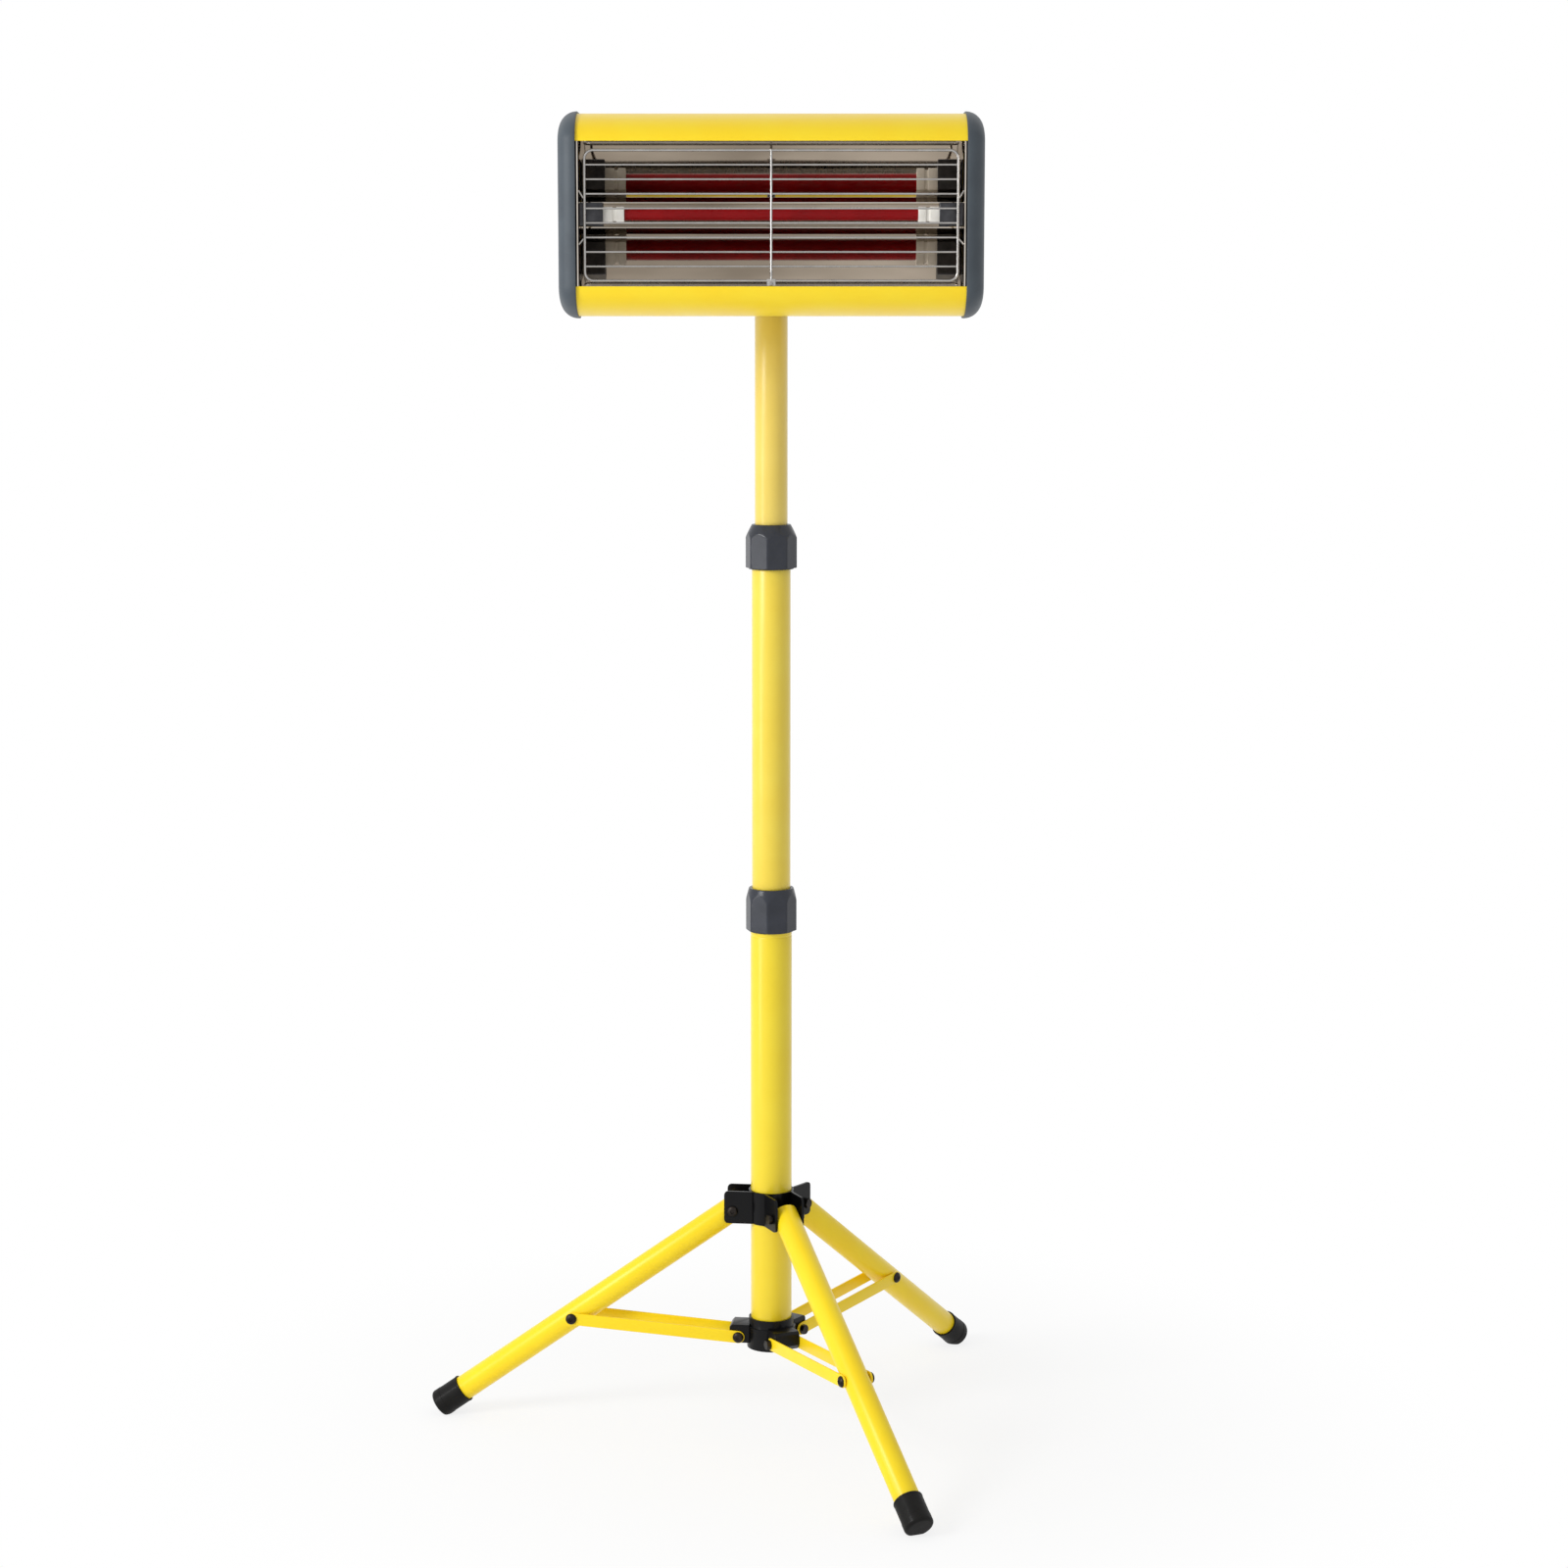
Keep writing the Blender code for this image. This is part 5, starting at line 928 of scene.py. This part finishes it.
# %% [markdown]
# ## Casing
#
# The casing is one extruded aluminium shell with a lip rolled over its mouth. Its section is a
# closed outline of the outer and the inner line, pushed along the lamp. The ventilation slots,
# the cable hole and the switch window are cut with a Boolean, and then every edge is rounded.

# %% Extrude the casing
HEAD_BACK = -0.050
HEAD_FRONT = -0.160
SHELL_HALF_HEIGHT = 0.0935
MOUTH_HALF_HEIGHT = 0.066
LIP_DEPTH = 0.055
BACK_CORNER = 0.032
SHELL_WALL = 0.0016
LIP_STEPS = 24
CORNER_STEPS = 16


def head_section(grow=0.0):
    """(y, z) of the casing's outline from the upper lip round the back to the lower lip."""
    lip_centre = (HEAD_FRONT + LIP_DEPTH, MOUTH_HALF_HEIGHT)
    lip_height = SHELL_HALF_HEIGHT - MOUTH_HALF_HEIGHT
    lip = arc(lip_centre, LIP_DEPTH + grow, lip_height + grow, 180, 90, LIP_STEPS)
    corner_centre = (HEAD_BACK - BACK_CORNER, SHELL_HALF_HEIGHT - BACK_CORNER)
    corner = arc(corner_centre, BACK_CORNER + grow, BACK_CORNER + grow, 90, 0, CORNER_STEPS)
    upper = lip + corner
    return upper + [(y, -z) for y, z in reversed(upper)]


def carve(obj, cutter_bm):
    """Cuts a closed mesh out of a piece and keeps the result as the piece's own mesh."""
    bmesh.ops.recalc_face_normals(cutter_bm, faces=cutter_bm.faces)
    cutter = put_in_scene("cutter", as_mesh("cutter", cutter_bm))
    modifier = obj.modifiers.new("cut", "BOOLEAN")
    modifier.operation = "DIFFERENCE"
    modifier.solver = "EXACT"
    modifier.object = cutter
    graph = bpy.context.evaluated_depsgraph_get()
    result = bpy.data.meshes.new_from_object(obj.evaluated_get(graph))
    obj.modifiers.clear()
    old = obj.data
    obj.data = result
    result.name = obj.name
    bpy.data.meshes.remove(old)
    bpy.data.objects.remove(cutter)
    result.shade_smooth()
    result.set_sharp_from_angle(angle=SHARP)


shell_low, shell_high = along_lamp("housing_shell")
outline = head_section() + head_section(-SHELL_WALL)[::-1]
shell = slab(outline, shell_low, shell_high, "X")
casing = make_piece("casing", moved(shell, to_head), casing_yellow, "housing_shell")
print(f"casing: {1000 * (shell_high - shell_low):.1f} mm long, {len(outline)} points round")

# %% [markdown]
# The slots stand in two rows of six, each a round-ended hole 4 mm wide. All cutters go into
# one mesh, so the Boolean runs once.

# %% Cut the slots, the cable hole and the switch window
VENT_COUNT = 6
VENT_WIDTH = 0.004
VENT_LENGTH = 0.024
VENT_PITCH = 0.014
VENT_FIRST = 0.075
VENT_HEIGHT = 0.038
VENT_END_STEPS = 10
THROUGH = 0.004
GLAND_X = 0.105
GLAND_Z = -0.040
GLAND_THREAD = 0.008
SWITCH_X = -0.105
SWITCH_Z = -0.010
SWITCH_HALF = (0.00945, 0.00645)
CASING_EDGE = 0.0004

back_in, back_out = HEAD_BACK - SHELL_WALL - THROUGH, HEAD_BACK + THROUGH
cutters = []
for side in (-1, 1):
    for index in range(VENT_COUNT):
        x = side * (VENT_FIRST + index * VENT_PITCH)
        half, straight = VENT_WIDTH / 2, (VENT_LENGTH - VENT_WIDTH) / 2
        slot = arc((x, VENT_HEIGHT + straight), half, half, 0, 180, VENT_END_STEPS)
        slot += arc((x, VENT_HEIGHT - straight), half, half, 180, 360, VENT_END_STEPS)
        cutters.append(slab(slot, back_in, back_out, "Y"))
gland_hole = moved(rod(GLAND_THREAD + FIT, back_in, back_out, steps=48), TO_Y)
cutters.append(moved(gland_hole, Matrix.Translation((GLAND_X, 0, GLAND_Z))))
wide, tall = (size + FIT for size in SWITCH_HALF)
window = rectangle(SWITCH_X - wide, SWITCH_X + wide, SWITCH_Z - tall, SWITCH_Z + tall)
cutters.append(slab(window, back_in, back_out, "Y"))
carve(casing, moved(joined(*cutters), to_head))
rounded(casing, CASING_EDGE)
print(f"{2 * VENT_COUNT} slots, {len(casing.data.polygons)} faces in the casing")

# %% [markdown]
# ## Small screws
#
# Screws with a domed head and a cross hold the end caps, the guard and the bracket. A head is
# turned, and then the points of its dome that lie within the cross are pushed down.

# %% Shape a cross-head screw
PAN_RADIUS = 0.0034
PAN_HEIGHT = 0.0012
PAN_STEPS = 32
DOME_ARC_STEPS = 8
CROSS_WIDTH = 0.0009
CROSS_REACH = 0.62


def pan_screw(radius, height, cross_width):
    """A domed screw head along +Z with a cross sunk in it, half as deep as the dome is high."""
    dome = arc((0, 0), radius, height, 0, 90, DOME_ARC_STEPS)
    bm = turned([(0, -height), (radius, -height), *dome], PAN_STEPS)
    for vert in bm.verts:
        in_cross = min(abs(vert.co.x), abs(vert.co.y)) < cross_width / 2
        if in_cross and vert.co.z > height / 3 and vert.co.xy.length < radius * CROSS_REACH:
            vert.co.z -= height / 2
    return bm


print(f"screw head: {2000 * PAN_RADIUS:.1f} mm across, cross {1000 * CROSS_WIDTH} mm wide")

# %% [markdown]
# ## End caps
#
# A moulded cap closes each end. It stands 2 mm proud of the casing all round and ends in a
# quarter round. Grown and shrunk copies of the casing's section are bridged from the inner
# floor over the rim to the flat end. Two black screws on each side hold it.

# %% Mould the end caps
CAP_INNER = 0.1803
CAP_OVERLAP = 0.005
CAP_WIDTH = 0.0167
CAP_PROUD = 0.002
CAP_CAVITY = 0.0055
CAP_CAVITY_INSET = 0.010
CAP_CAVITY_STEP = 0.004
DOME_STEPS = 14
RIM_ROUND = 0.0005
RIM_CUT = 0.00015
CAP_SCREW_Z = 0.052
CAP_SCREW_Y = -0.095


def lofted(loops):
    """Outlines of equally many points, bridged in order, with the first and last filled."""
    bm = bmesh.new()
    rings = []
    for loop in loops:
        verts = [bm.verts.new(point) for point in loop]
        rings.append([bm.edges.new(pair) for pair in zip(verts, verts[1:] + verts[:1])])
    for ring, following in zip(rings, rings[1:]):
        bmesh.ops.bridge_loops(bm, edges=ring + following)
    bmesh.ops.edgeloop_fill(bm, edges=rings[0])
    bmesh.ops.edgeloop_fill(bm, edges=rings[-1])
    return bm


def cap_stations():
    """(distance from the middle, growth of the section) from the cavity to the end."""
    seat = CAP_INNER + CAP_OVERLAP
    stations = [
        (seat + CAP_CAVITY, -CAP_CAVITY_INSET),
        (seat, -CAP_CAVITY_STEP),
        (seat, FIT),
        (CAP_INNER, FIT),
        (CAP_INNER, CAP_PROUD - RIM_ROUND),
        (CAP_INNER + RIM_CUT, CAP_PROUD - RIM_CUT),
    ]
    for step in range(DOME_STEPS + 1):
        angle = math.pi / 2 * step / DOME_STEPS
        x = CAP_INNER + RIM_ROUND + (CAP_WIDTH - RIM_ROUND) * math.sin(angle)
        stations.append((x, CAP_PROUD - (CAP_WIDTH - RIM_ROUND) * (1 - math.cos(angle))))
    return stations


for side, name in ((-1, "left"), (1, "right")):
    loops = [[(side * x, y, z) for y, z in head_section(grow)] for x, grow in cap_stations()]
    make_piece(f"cap_{name}", moved(lofted(loops), to_head), slate_nylon, f"end_cap_{name}")
    turn = TO_X if side > 0 else TO_X @ Matrix.Rotation(math.pi, 4, "X")
    for z, level in ((CAP_SCREW_Z, "upper"), (-CAP_SCREW_Z, "lower")):
        place = Matrix.Translation((side * (CAP_INNER + CAP_WIDTH), CAP_SCREW_Y, z))
        screw = moved(pan_screw(PAN_RADIUS, PAN_HEIGHT, CROSS_WIDTH), to_head @ place @ turn)
        make_piece(f"cap_screw_{name}_{level}", screw, black_oxide, near=f"end_cap_{name}")
print(f"end caps: {1000 * CAP_WIDTH:.1f} mm wide, {len(cap_stations())} sections each")

# %% [markdown]
# ## Reflector
#
# The reflector is polished sheet bent to a W. Two shallow troughs lie behind the lamp, each
# part of a large arc, and meet in a rounded ridge. Every trough throws its own image of the
# red tube, which is why three red bars show where there is one lamp. The images are only as
# good as the mesh, so the section is drawn with many small steps.

# %% Bend the reflector
SHEET = 0.001
RIM_HALF_HEIGHT = 0.067
TROUGH_HALF_HEIGHT = 0.012
RIDGE_HEIGHT = 0.0115
FACET_MIDDLE = 0.032
FACET_TILT = math.radians(37)
FACET_RADIUS = 0.190
FACET_STEPS = 60
RIDGE_STEPS = 24
REFLECTOR_RIM = HEAD_FRONT + SHELL_WALL + SHEET + FIT


def facet_tilt(z):
    """How far the reflector's flank leans at this height."""
    return FACET_TILT + (z - FACET_MIDDLE) / (FACET_RADIUS * math.cos(FACET_TILT))


def facet_points():
    """(y, z) of the upper flank from the trough to the rim."""
    pitch = (RIM_HALF_HEIGHT - TROUGH_HALF_HEIGHT) / FACET_STEPS
    points = [(REFLECTOR_RIM, RIM_HALF_HEIGHT)]
    for _ in range(FACET_STEPS):
        y, z = points[-1]
        points.append((y + pitch * math.tan(facet_tilt(z - pitch / 2)), z - pitch))
    return points[::-1]


def ridge_points():
    """(y, z) of the ridge from its top to the upper trough."""
    trough_y = facet_points()[0][0]
    points = []
    for step in range(RIDGE_STEPS):
        share = step / RIDGE_STEPS
        rise = RIDGE_HEIGHT * (1 + math.cos(math.pi * share)) / 2
        points.append((trough_y - rise, share * TROUGH_HALF_HEIGHT))
    return points


def set_back(points, distance):
    """A line moved square to itself, away from the lamp."""
    result = []
    for index, point in enumerate(points):
        before = Vector(points[max(index - 1, 0)])
        after = Vector(points[min(index + 1, len(points) - 1)])
        along = (after - before).normalized()
        result.append((point[0] + along.y * distance, point[1] - along.x * distance))
    return result


upper = ridge_points() + facet_points()
front = [(y, -z) for y, z in reversed(upper[1:])] + upper
sheet = slab(front + set_back(front, SHEET)[::-1], *along_lamp("reflector"), "X")
make_piece("mirror_sheet", moved(sheet, to_head), mirror_aluminium, "reflector")
for name in ("left", "right"):
    node = f"reflector_end_{name}"
    plate = slab(head_section(-SHELL_WALL - FIT), *along_lamp(node), "X")
    make_piece(f"mirror_end_{name}", moved(plate, to_head), mirror_aluminium, node)
print(f"reflector: {len(front)} points across, ridge {1000 * RIDGE_HEIGHT} mm high")

# %% [markdown]
# ## Lamp
#
# The heater is a quartz tube. It has its real wall, because light bends at both faces of the
# glass, and a solid rod would work as a lens.

# %% Make the quartz tube
GLASS_WALL = 0.001

glass_low, glass_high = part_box("lamp_glass")
lamp = (glass_low + glass_high) / 2
lamp_radius = (glass_high.z - glass_low.z) / 2
glass_half = (glass_high.x - glass_low.x) / 2
at_lamp = Matrix.Translation(lamp) @ TO_X
inner = lamp_radius - GLASS_WALL
wall = rectangle(inner, lamp_radius, -glass_half, glass_half)
make_piece("quartz_tube", moved(turned(wall, ring=True), at_lamp), ruby_quartz, "lamp_glass")
print(f"tube {2000 * glass_half:.0f} mm long, {2000 * lamp_radius:.1f} mm across")

# %% [markdown]
# Inside the tube runs a coil of tungsten, on small wire rings that keep it off the glass. The
# coil comes from spin with a step along the axis, which turns a small ring of points into a
# spring.

# %% Wind the coil
COIL_RADIUS = 0.0016
COIL_WIRE = 0.0004
COIL_TURNS = 110
COIL_STEPS_PER_TURN = 12
COIL_WIRE_SIDES = 6
COIL_FROM_GLASS_END = 0.012
LEAD_RADIUS = 0.00064
RING_COUNT = 7
RING_SPAN_SHARE = 0.94


def spring(radius, wire, half_length, turns):
    """A round wire wound about Z from -half_length to half_length."""
    bm = bmesh.new()
    sides = COIL_WIRE_SIDES
    ring = bmesh.ops.create_circle(bm, cap_ends=False, segments=sides, radius=wire)["verts"]
    bmesh.ops.rotate(bm, cent=(0, 0, 0), matrix=Matrix.Rotation(math.pi / 2, 3, "X"), verts=ring)
    bmesh.ops.translate(bm, vec=(radius, 0, -half_length), verts=ring)
    steps = turns * COIL_STEPS_PER_TURN
    bmesh.ops.spin(
        bm,
        geom=elements(bm),
        cent=(0, 0, 0),
        axis=(0, 0, 1),
        dvec=(0, 0, 2 * half_length / steps),
        angle=2 * math.pi * turns,
        steps=steps,
        use_merge=False,
    )
    bmesh.ops.holes_fill(bm, edges=[edge for edge in bm.edges if edge.is_boundary], sides=0)
    return bm


def wire_ring(radius, wire, height):
    """A ring of wire with eight points round its section."""
    return turned(arc((radius, height), wire, wire, 0, 315, 7), 32, ring=True)


coil_half = glass_half - COIL_FROM_GLASS_END
filament_low, filament_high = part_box("filament")
filament_half = (filament_high.x - filament_low.x) / 2
parts = [spring(COIL_RADIUS, COIL_WIRE, coil_half, COIL_TURNS)]
for index in range(RING_COUNT):
    height = coil_half * (2 * index / (RING_COUNT - 1) - 1) * RING_SPAN_SHARE
    parts.append(wire_ring(inner - 2 * COIL_WIRE, COIL_WIRE, height))
for side in (-1, 1):
    ends = sorted((side * (coil_half + COIL_WIRE), side * filament_half))
    parts.append(rod(LEAD_RADIUS, *ends, steps=12))
make_piece("tungsten_coil", moved(joined(*parts), at_lamp), tungsten, "filament")
print(f"coil of {COIL_TURNS} turns on {RING_COUNT} rings")

# %% [markdown]
# The ceramic ends are pressed blocks with soft edges and a waist that the spring clip grips.
# The clips are dark bent steel, open towards the lamp.

# %% Make the ceramic ends and the clips
CERAMIC_EDGE = 0.00066
CLIP_EDGE = 0.0006
WAIST_DEPTH = 0.0009
WAIST_SHARES = (0.30, 0.44)

for side, name in ((-1, "left"), (1, "right")):
    low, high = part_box(f"lamp_base_{name}")
    half = (high.z - low.z) / 2
    near, far = sorted((low.x - lamp.x, high.x - lamp.x), key=abs)
    bm = slab(rectangle(-half, half, -half, half), min(near, far), max(near, far), "X")
    cuts = [near + (far - near) * share for share in WAIST_SHARES]
    for x in cuts:
        plane = {"plane_co": (x, 0, 0), "plane_no": (1, 0, 0)}
        bmesh.ops.bisect_plane(bm, geom=elements(bm), dist=MERGE, **plane)
    waist = [face for face in bm.faces if min(cuts) < face.calc_center_median().x < max(cuts)]
    bmesh.ops.recalc_face_normals(bm, faces=bm.faces)
    bmesh.ops.inset_region(bm, faces=waist, thickness=0, depth=-WAIST_DEPTH, use_even_offset=True)
    soften(bm, CERAMIC_EDGE, 3)
    at_end = moved(bm, Matrix.Translation(lamp))
    make_piece(f"ceramic_end_{name}", at_end, steatite, f"lamp_base_{name}")
    dressed(f"lamp_clip_{name}", f"lamp_holder_{name}", spring_steel, CLIP_EDGE)
print("ceramic ends and clips made")

# %% [markdown]
# ## Wire guard
#
# The guard is bent from chromed wire. A curve with a round bevel gives each wire, and the mesh
# is taken from the evaluated curve.

# %% A helper for wire
def wires(paths, radius, closed=False):
    """Round wires along these paths."""
    curve = bpy.data.curves.new("wire", "CURVE")
    curve.dimensions = "3D"
    curve.bevel_depth = radius
    curve.bevel_resolution = 4
    curve.use_fill_caps = True
    for path in paths:
        spline = curve.splines.new("POLY")
        spline.points.add(len(path) - 1)
        spline.use_cyclic_u = closed
        for point, place in zip(spline.points, path):
            point.co = (*place, 1)
    guide = put_in_scene("wire", curve)
    graph = bpy.context.evaluated_depsgraph_get()
    bm = bmesh.new()
    bm.from_mesh(guide.evaluated_get(graph).to_mesh())
    bpy.data.objects.remove(guide)
    return bm


print("helper for wire: wires")

# %% [markdown]
# The guard is a frame with round corners, with eight cross wires welded behind it, and bent
# hooks that go into the end plates. The frame lies as deep in the reflector as its lower bar
# can without touching the slope.

# %% Bend the guard
GUARD_HALF_WIDTH = 0.1722
GUARD_HALF_HEIGHT = 0.0595
GUARD_DROP = 0.0015
GUARD_CORNER = 0.008
FRAME_WIRE = 0.0013
CROSS_WIRE = 0.0009
UPRIGHT_WIRE = 0.0011
CROSS_WIRES = 8
CORNER_WIRE_STEPS = 10
HOOK_SHARES = (0.24, -0.38)
HOOK_RISES = (0.007, -0.005)
HOOK_BEND = 0.0015
HOOK_BACK = 0.001


def flank_depth(z):
    """y of the reflector's face at this height from its middle."""
    for (y0, z0), (y1, z1) in zip(facet_points(), facet_points()[1:]):
        if z <= z1:
            return y0 + (y1 - y0) * (z - z0) / (z1 - z0)
    return REFLECTOR_RIM


lowest = GUARD_HALF_HEIGHT + GUARD_DROP
guard_y = flank_depth(lowest) - (FRAME_WIRE + FIT) / math.cos(facet_tilt(lowest))
loop = []
for x_side, z_side, start in ((1, 1, 0), (-1, 1, 90), (-1, -1, 180), (1, -1, 270)):
    x = x_side * (GUARD_HALF_WIDTH - GUARD_CORNER)
    z = z_side * (GUARD_HALF_HEIGHT - GUARD_CORNER) - GUARD_DROP
    loop += arc((x, z), GUARD_CORNER, GUARD_CORNER, start, start + 90, CORNER_WIRE_STEPS)
frame_wire = wires([[(x, guard_y, z) for x, z in loop]], FRAME_WIRE, closed=True)

rods = []
cross_y = guard_y + FRAME_WIRE / 2
for index in range(CROSS_WIRES):
    z = GUARD_HALF_HEIGHT * (1 - 2 * (index + 1) / (CROSS_WIRES + 1)) - GUARD_DROP
    rods.append([(-GUARD_HALF_WIDTH, cross_y, z), (GUARD_HALF_WIDTH, cross_y, z)])
plate_x = along_lamp("reflector")[1]
for side in (-1, 1):
    for share, rise in zip(HOOK_SHARES, HOOK_RISES):
        z = GUARD_HALF_HEIGHT * share
        weld = (side * GUARD_HALF_WIDTH, guard_y, z)
        bend = (side * (GUARD_HALF_WIDTH + HOOK_BEND), guard_y, z + rise / 10)
        rods.append([weld, bend, (side * plate_x, guard_y + HOOK_BACK, z + rise)])
print(f"guard {2000 * GUARD_HALF_WIDTH:.1f} by {2000 * GUARD_HALF_HEIGHT:.0f} mm")

# %% [markdown]
# One upright is welded across the front of the frame. It bends back at its foot to a flat tab,
# which lies on the reflector's rim, and a small screw with a cross in its head holds it.

# %% Add the upright, the tab and the screw
TAB_WIDTH = 0.008
TAB_HEIGHT = 0.009
TAB_THICKNESS = 0.001
TAB_EDGE = 0.0002
BEND_HEIGHT = 0.010
BEND_MIDDLE = 0.0045
UPRIGHT_OVER_FRAME = 0.00052
SCREW_RADIUS = 0.0012
SCREW_LENGTH = 0.010
SCREW_HEAD_RADIUS = 0.002
SCREW_HEAD_HEIGHT = 0.0014
SCREW_CROSS_WIDTH = 0.0007
SCREW_PROUD = 0.0002

tab_back = flank_depth(RIM_HALF_HEIGHT) - FIT
tab_front = tab_back - TAB_THICKNESS
screw_z = -(lowest + FRAME_WIRE + FIT + SCREW_RADIUS)
tab_top = screw_z + TAB_HEIGHT / 2
upright_y = guard_y - FRAME_WIRE
upright = [
    (0, upright_y, GUARD_HALF_HEIGHT - GUARD_DROP + UPRIGHT_OVER_FRAME),
    (0, upright_y, tab_top + BEND_HEIGHT),
    (0, (upright_y + tab_front) / 2, tab_top + BEND_MIDDLE),
    (0, tab_front + TAB_THICKNESS / 2, tab_top - UPRIGHT_WIRE),
]
tab_low = max(tab_top - TAB_HEIGHT, -MOUTH_HALF_HEIGHT)
half = TAB_WIDTH / 2
tab_outline = rectangle(-half, half, tab_low, tab_top)
tab = soften(slab(tab_outline, tab_front, tab_back, "Y"), TAB_EDGE)
guard = joined(frame_wire, wires(rods, CROSS_WIRE), wires([upright], UPRIGHT_WIRE), tab)
make_piece("guard", moved(guard, to_head), chrome, "wire_guard")
toward_front = Matrix.Rotation(math.pi / 2, 4, "X")
screw_head = pan_screw(SCREW_HEAD_RADIUS, SCREW_HEAD_HEIGHT, SCREW_CROSS_WIDTH)
shank_top = SCREW_PROUD - SCREW_HEAD_HEIGHT
screw = joined(screw_head, rod(SCREW_RADIUS, -SCREW_LENGTH, shank_top))
place = Matrix.Translation((0, tab_front - FIT - SCREW_PROUD, screw_z)) @ toward_front
make_piece("guard_fixing", moved(screw, to_head @ place), chrome, "guard_screw")
print(f"tab {1000 * TAB_WIDTH:.0f} mm wide at z {screw_z:.4f}")

# %% [markdown]
# ## Fittings on the back
#
# The tilt bolt is a zinc-plated hex bolt. The cable gland has a hex flange, and a nut inside
# the casing holds it. Its dome nut is turned first, and then its points are drawn in by a
# ripple that makes the ribs for the fingers.

# %% Make the tilt bolt and the gland
TILT_BOLT_RADIUS = 0.004
TILT_HEAD_HEIGHT = 0.004
TILT_HEAD_RADIUS = 0.0085
TILT_HEAD_CHAMFER = 0.0008
GLAND_FLANGE_RADIUS = 0.0115
GLAND_FLANGE = 0.005
GLAND_INNER_NUT = 0.004
GLAND_CHAMFER = 0.0007
GLAND_DOME = 0.0092
GLAND_DOME_LENGTH = 0.013
GLAND_MOUTH = 0.0055
GLAND_BORE = 0.0035
GLAND_RIBS = 12
STEPS_PER_RIB = 8
RIB_DEPTH = 0.0005

bolt_low, bolt_high = along_lamp("tilt_bolt")
head_top = bolt_low + TILT_HEAD_HEIGHT
bolt_head = hex_nut(head_top, TILT_HEAD_HEIGHT, TILT_HEAD_RADIUS, TILT_HEAD_CHAMFER)
shank = rod(TILT_BOLT_RADIUS, head_top - TILT_HEAD_HEIGHT / 2, bolt_high)
make_piece("tilt_pivot_bolt", moved(joined(bolt_head, shank), to_head @ TO_X), zinc, "tilt_bolt")

gland_low, gland_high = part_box("cord_gland")
inner_end, outer_end = gland_low.y - head.y, gland_high.y - head.y
shoulder = outer_end - GLAND_DOME_LENGTH
dome_half = GLAND_DOME_LENGTH / 2
body = [
    (GLAND_BORE, inner_end),
    (GLAND_THREAD, inner_end),
    (GLAND_THREAD, shoulder),
    (GLAND_DOME, shoulder),
    *arc((GLAND_MOUTH, shoulder + dome_half), GLAND_DOME - GLAND_MOUTH, dome_half, 0, 90, 10),
    (GLAND_BORE, outer_end),
]
dome = turned(body, GLAND_RIBS * STEPS_PER_RIB, ring=True)
for vert in dome.verts:
    reach = vert.co.xy.length
    if reach > GLAND_THREAD + RIB_DEPTH and vert.co.z > shoulder:
        angle = math.atan2(vert.co.y, vert.co.x)
        less = RIB_DEPTH * (1 - math.cos(GLAND_RIBS * angle)) / 2
        vert.co.xy *= (reach - less) / reach
flange = hex_nut(shoulder, GLAND_FLANGE, GLAND_FLANGE_RADIUS, GLAND_CHAMFER)
nut_top = HEAD_BACK - SHELL_WALL - FIT
inner_nut = hex_nut(nut_top, GLAND_INNER_NUT, GLAND_FLANGE_RADIUS, GLAND_CHAMFER)
gland = joined(dome, flange, inner_nut)
at_gland = to_head @ Matrix.Translation((GLAND_X, 0, GLAND_Z)) @ TO_Y
make_piece("cable_gland", moved(gland, at_gland), black_nylon, "cord_gland")
print(f"gland: {GLAND_RIBS} ribs, bore {2000 * GLAND_BORE:.0f} mm")

# %% [markdown]
# The rocker switch has a black bezel with a window, and a red rocker that dips in the middle.
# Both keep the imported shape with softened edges. Four zinc screws hold the bracket's plate to
# the casing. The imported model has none, so they ride with the tilt bolt and replace no node.

# %% Make the switch and the bracket's screws
SWITCH_EDGE = 0.0004
PLATE_THICKNESS = 0.0025
PLATE_SCREW_X = 0.024
PLATE_SCREW_Z = 0.023
PLATE_SCREW_HEIGHT = 0.0018

dressed("switch_bezel", "switch_body", black_nylon, SWITCH_EDGE)
dressed("rocker", "switch_rocker", red_polycarbonate, SWITCH_EDGE)
plate_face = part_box("rear_bracket")[0].y - head.y + PLATE_THICKNESS
for x, side in ((-PLATE_SCREW_X, "l"), (PLATE_SCREW_X, "r")):
    for z, level in ((-PLATE_SCREW_Z, "d"), (PLATE_SCREW_Z, "u")):
        place = to_head @ Matrix.Translation((x, plate_face, z)) @ TO_Y
        screw = moved(pan_screw(PAN_RADIUS, PLATE_SCREW_HEIGHT, CROSS_WIDTH), place)
        make_piece(f"bracket_screw_{side}{level}", screw, zinc, near="tilt_bolt")
print("switch, rocker and four bracket screws")

# %% [markdown]
# ## Hidden pieces
#
# The plug in the mast's foot, the two sliding guides and the terminal block stay as they are
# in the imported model. They show only through a slot or a gap, so a right finish is enough.

# %% Finish the hidden pieces
def repaint(node, material):
    """Gives a node that stays in view the finish of its real material."""
    slots = frame["nodes"][node].data.materials
    slots.clear()
    slots.append(material)


for node in ("base_tube_plug", "middle_tube_guide", "top_tube_guide"):
    repaint(node, charcoal_nylon)
repaint("terminal_block", steatite)
print("four hidden nodes repainted")
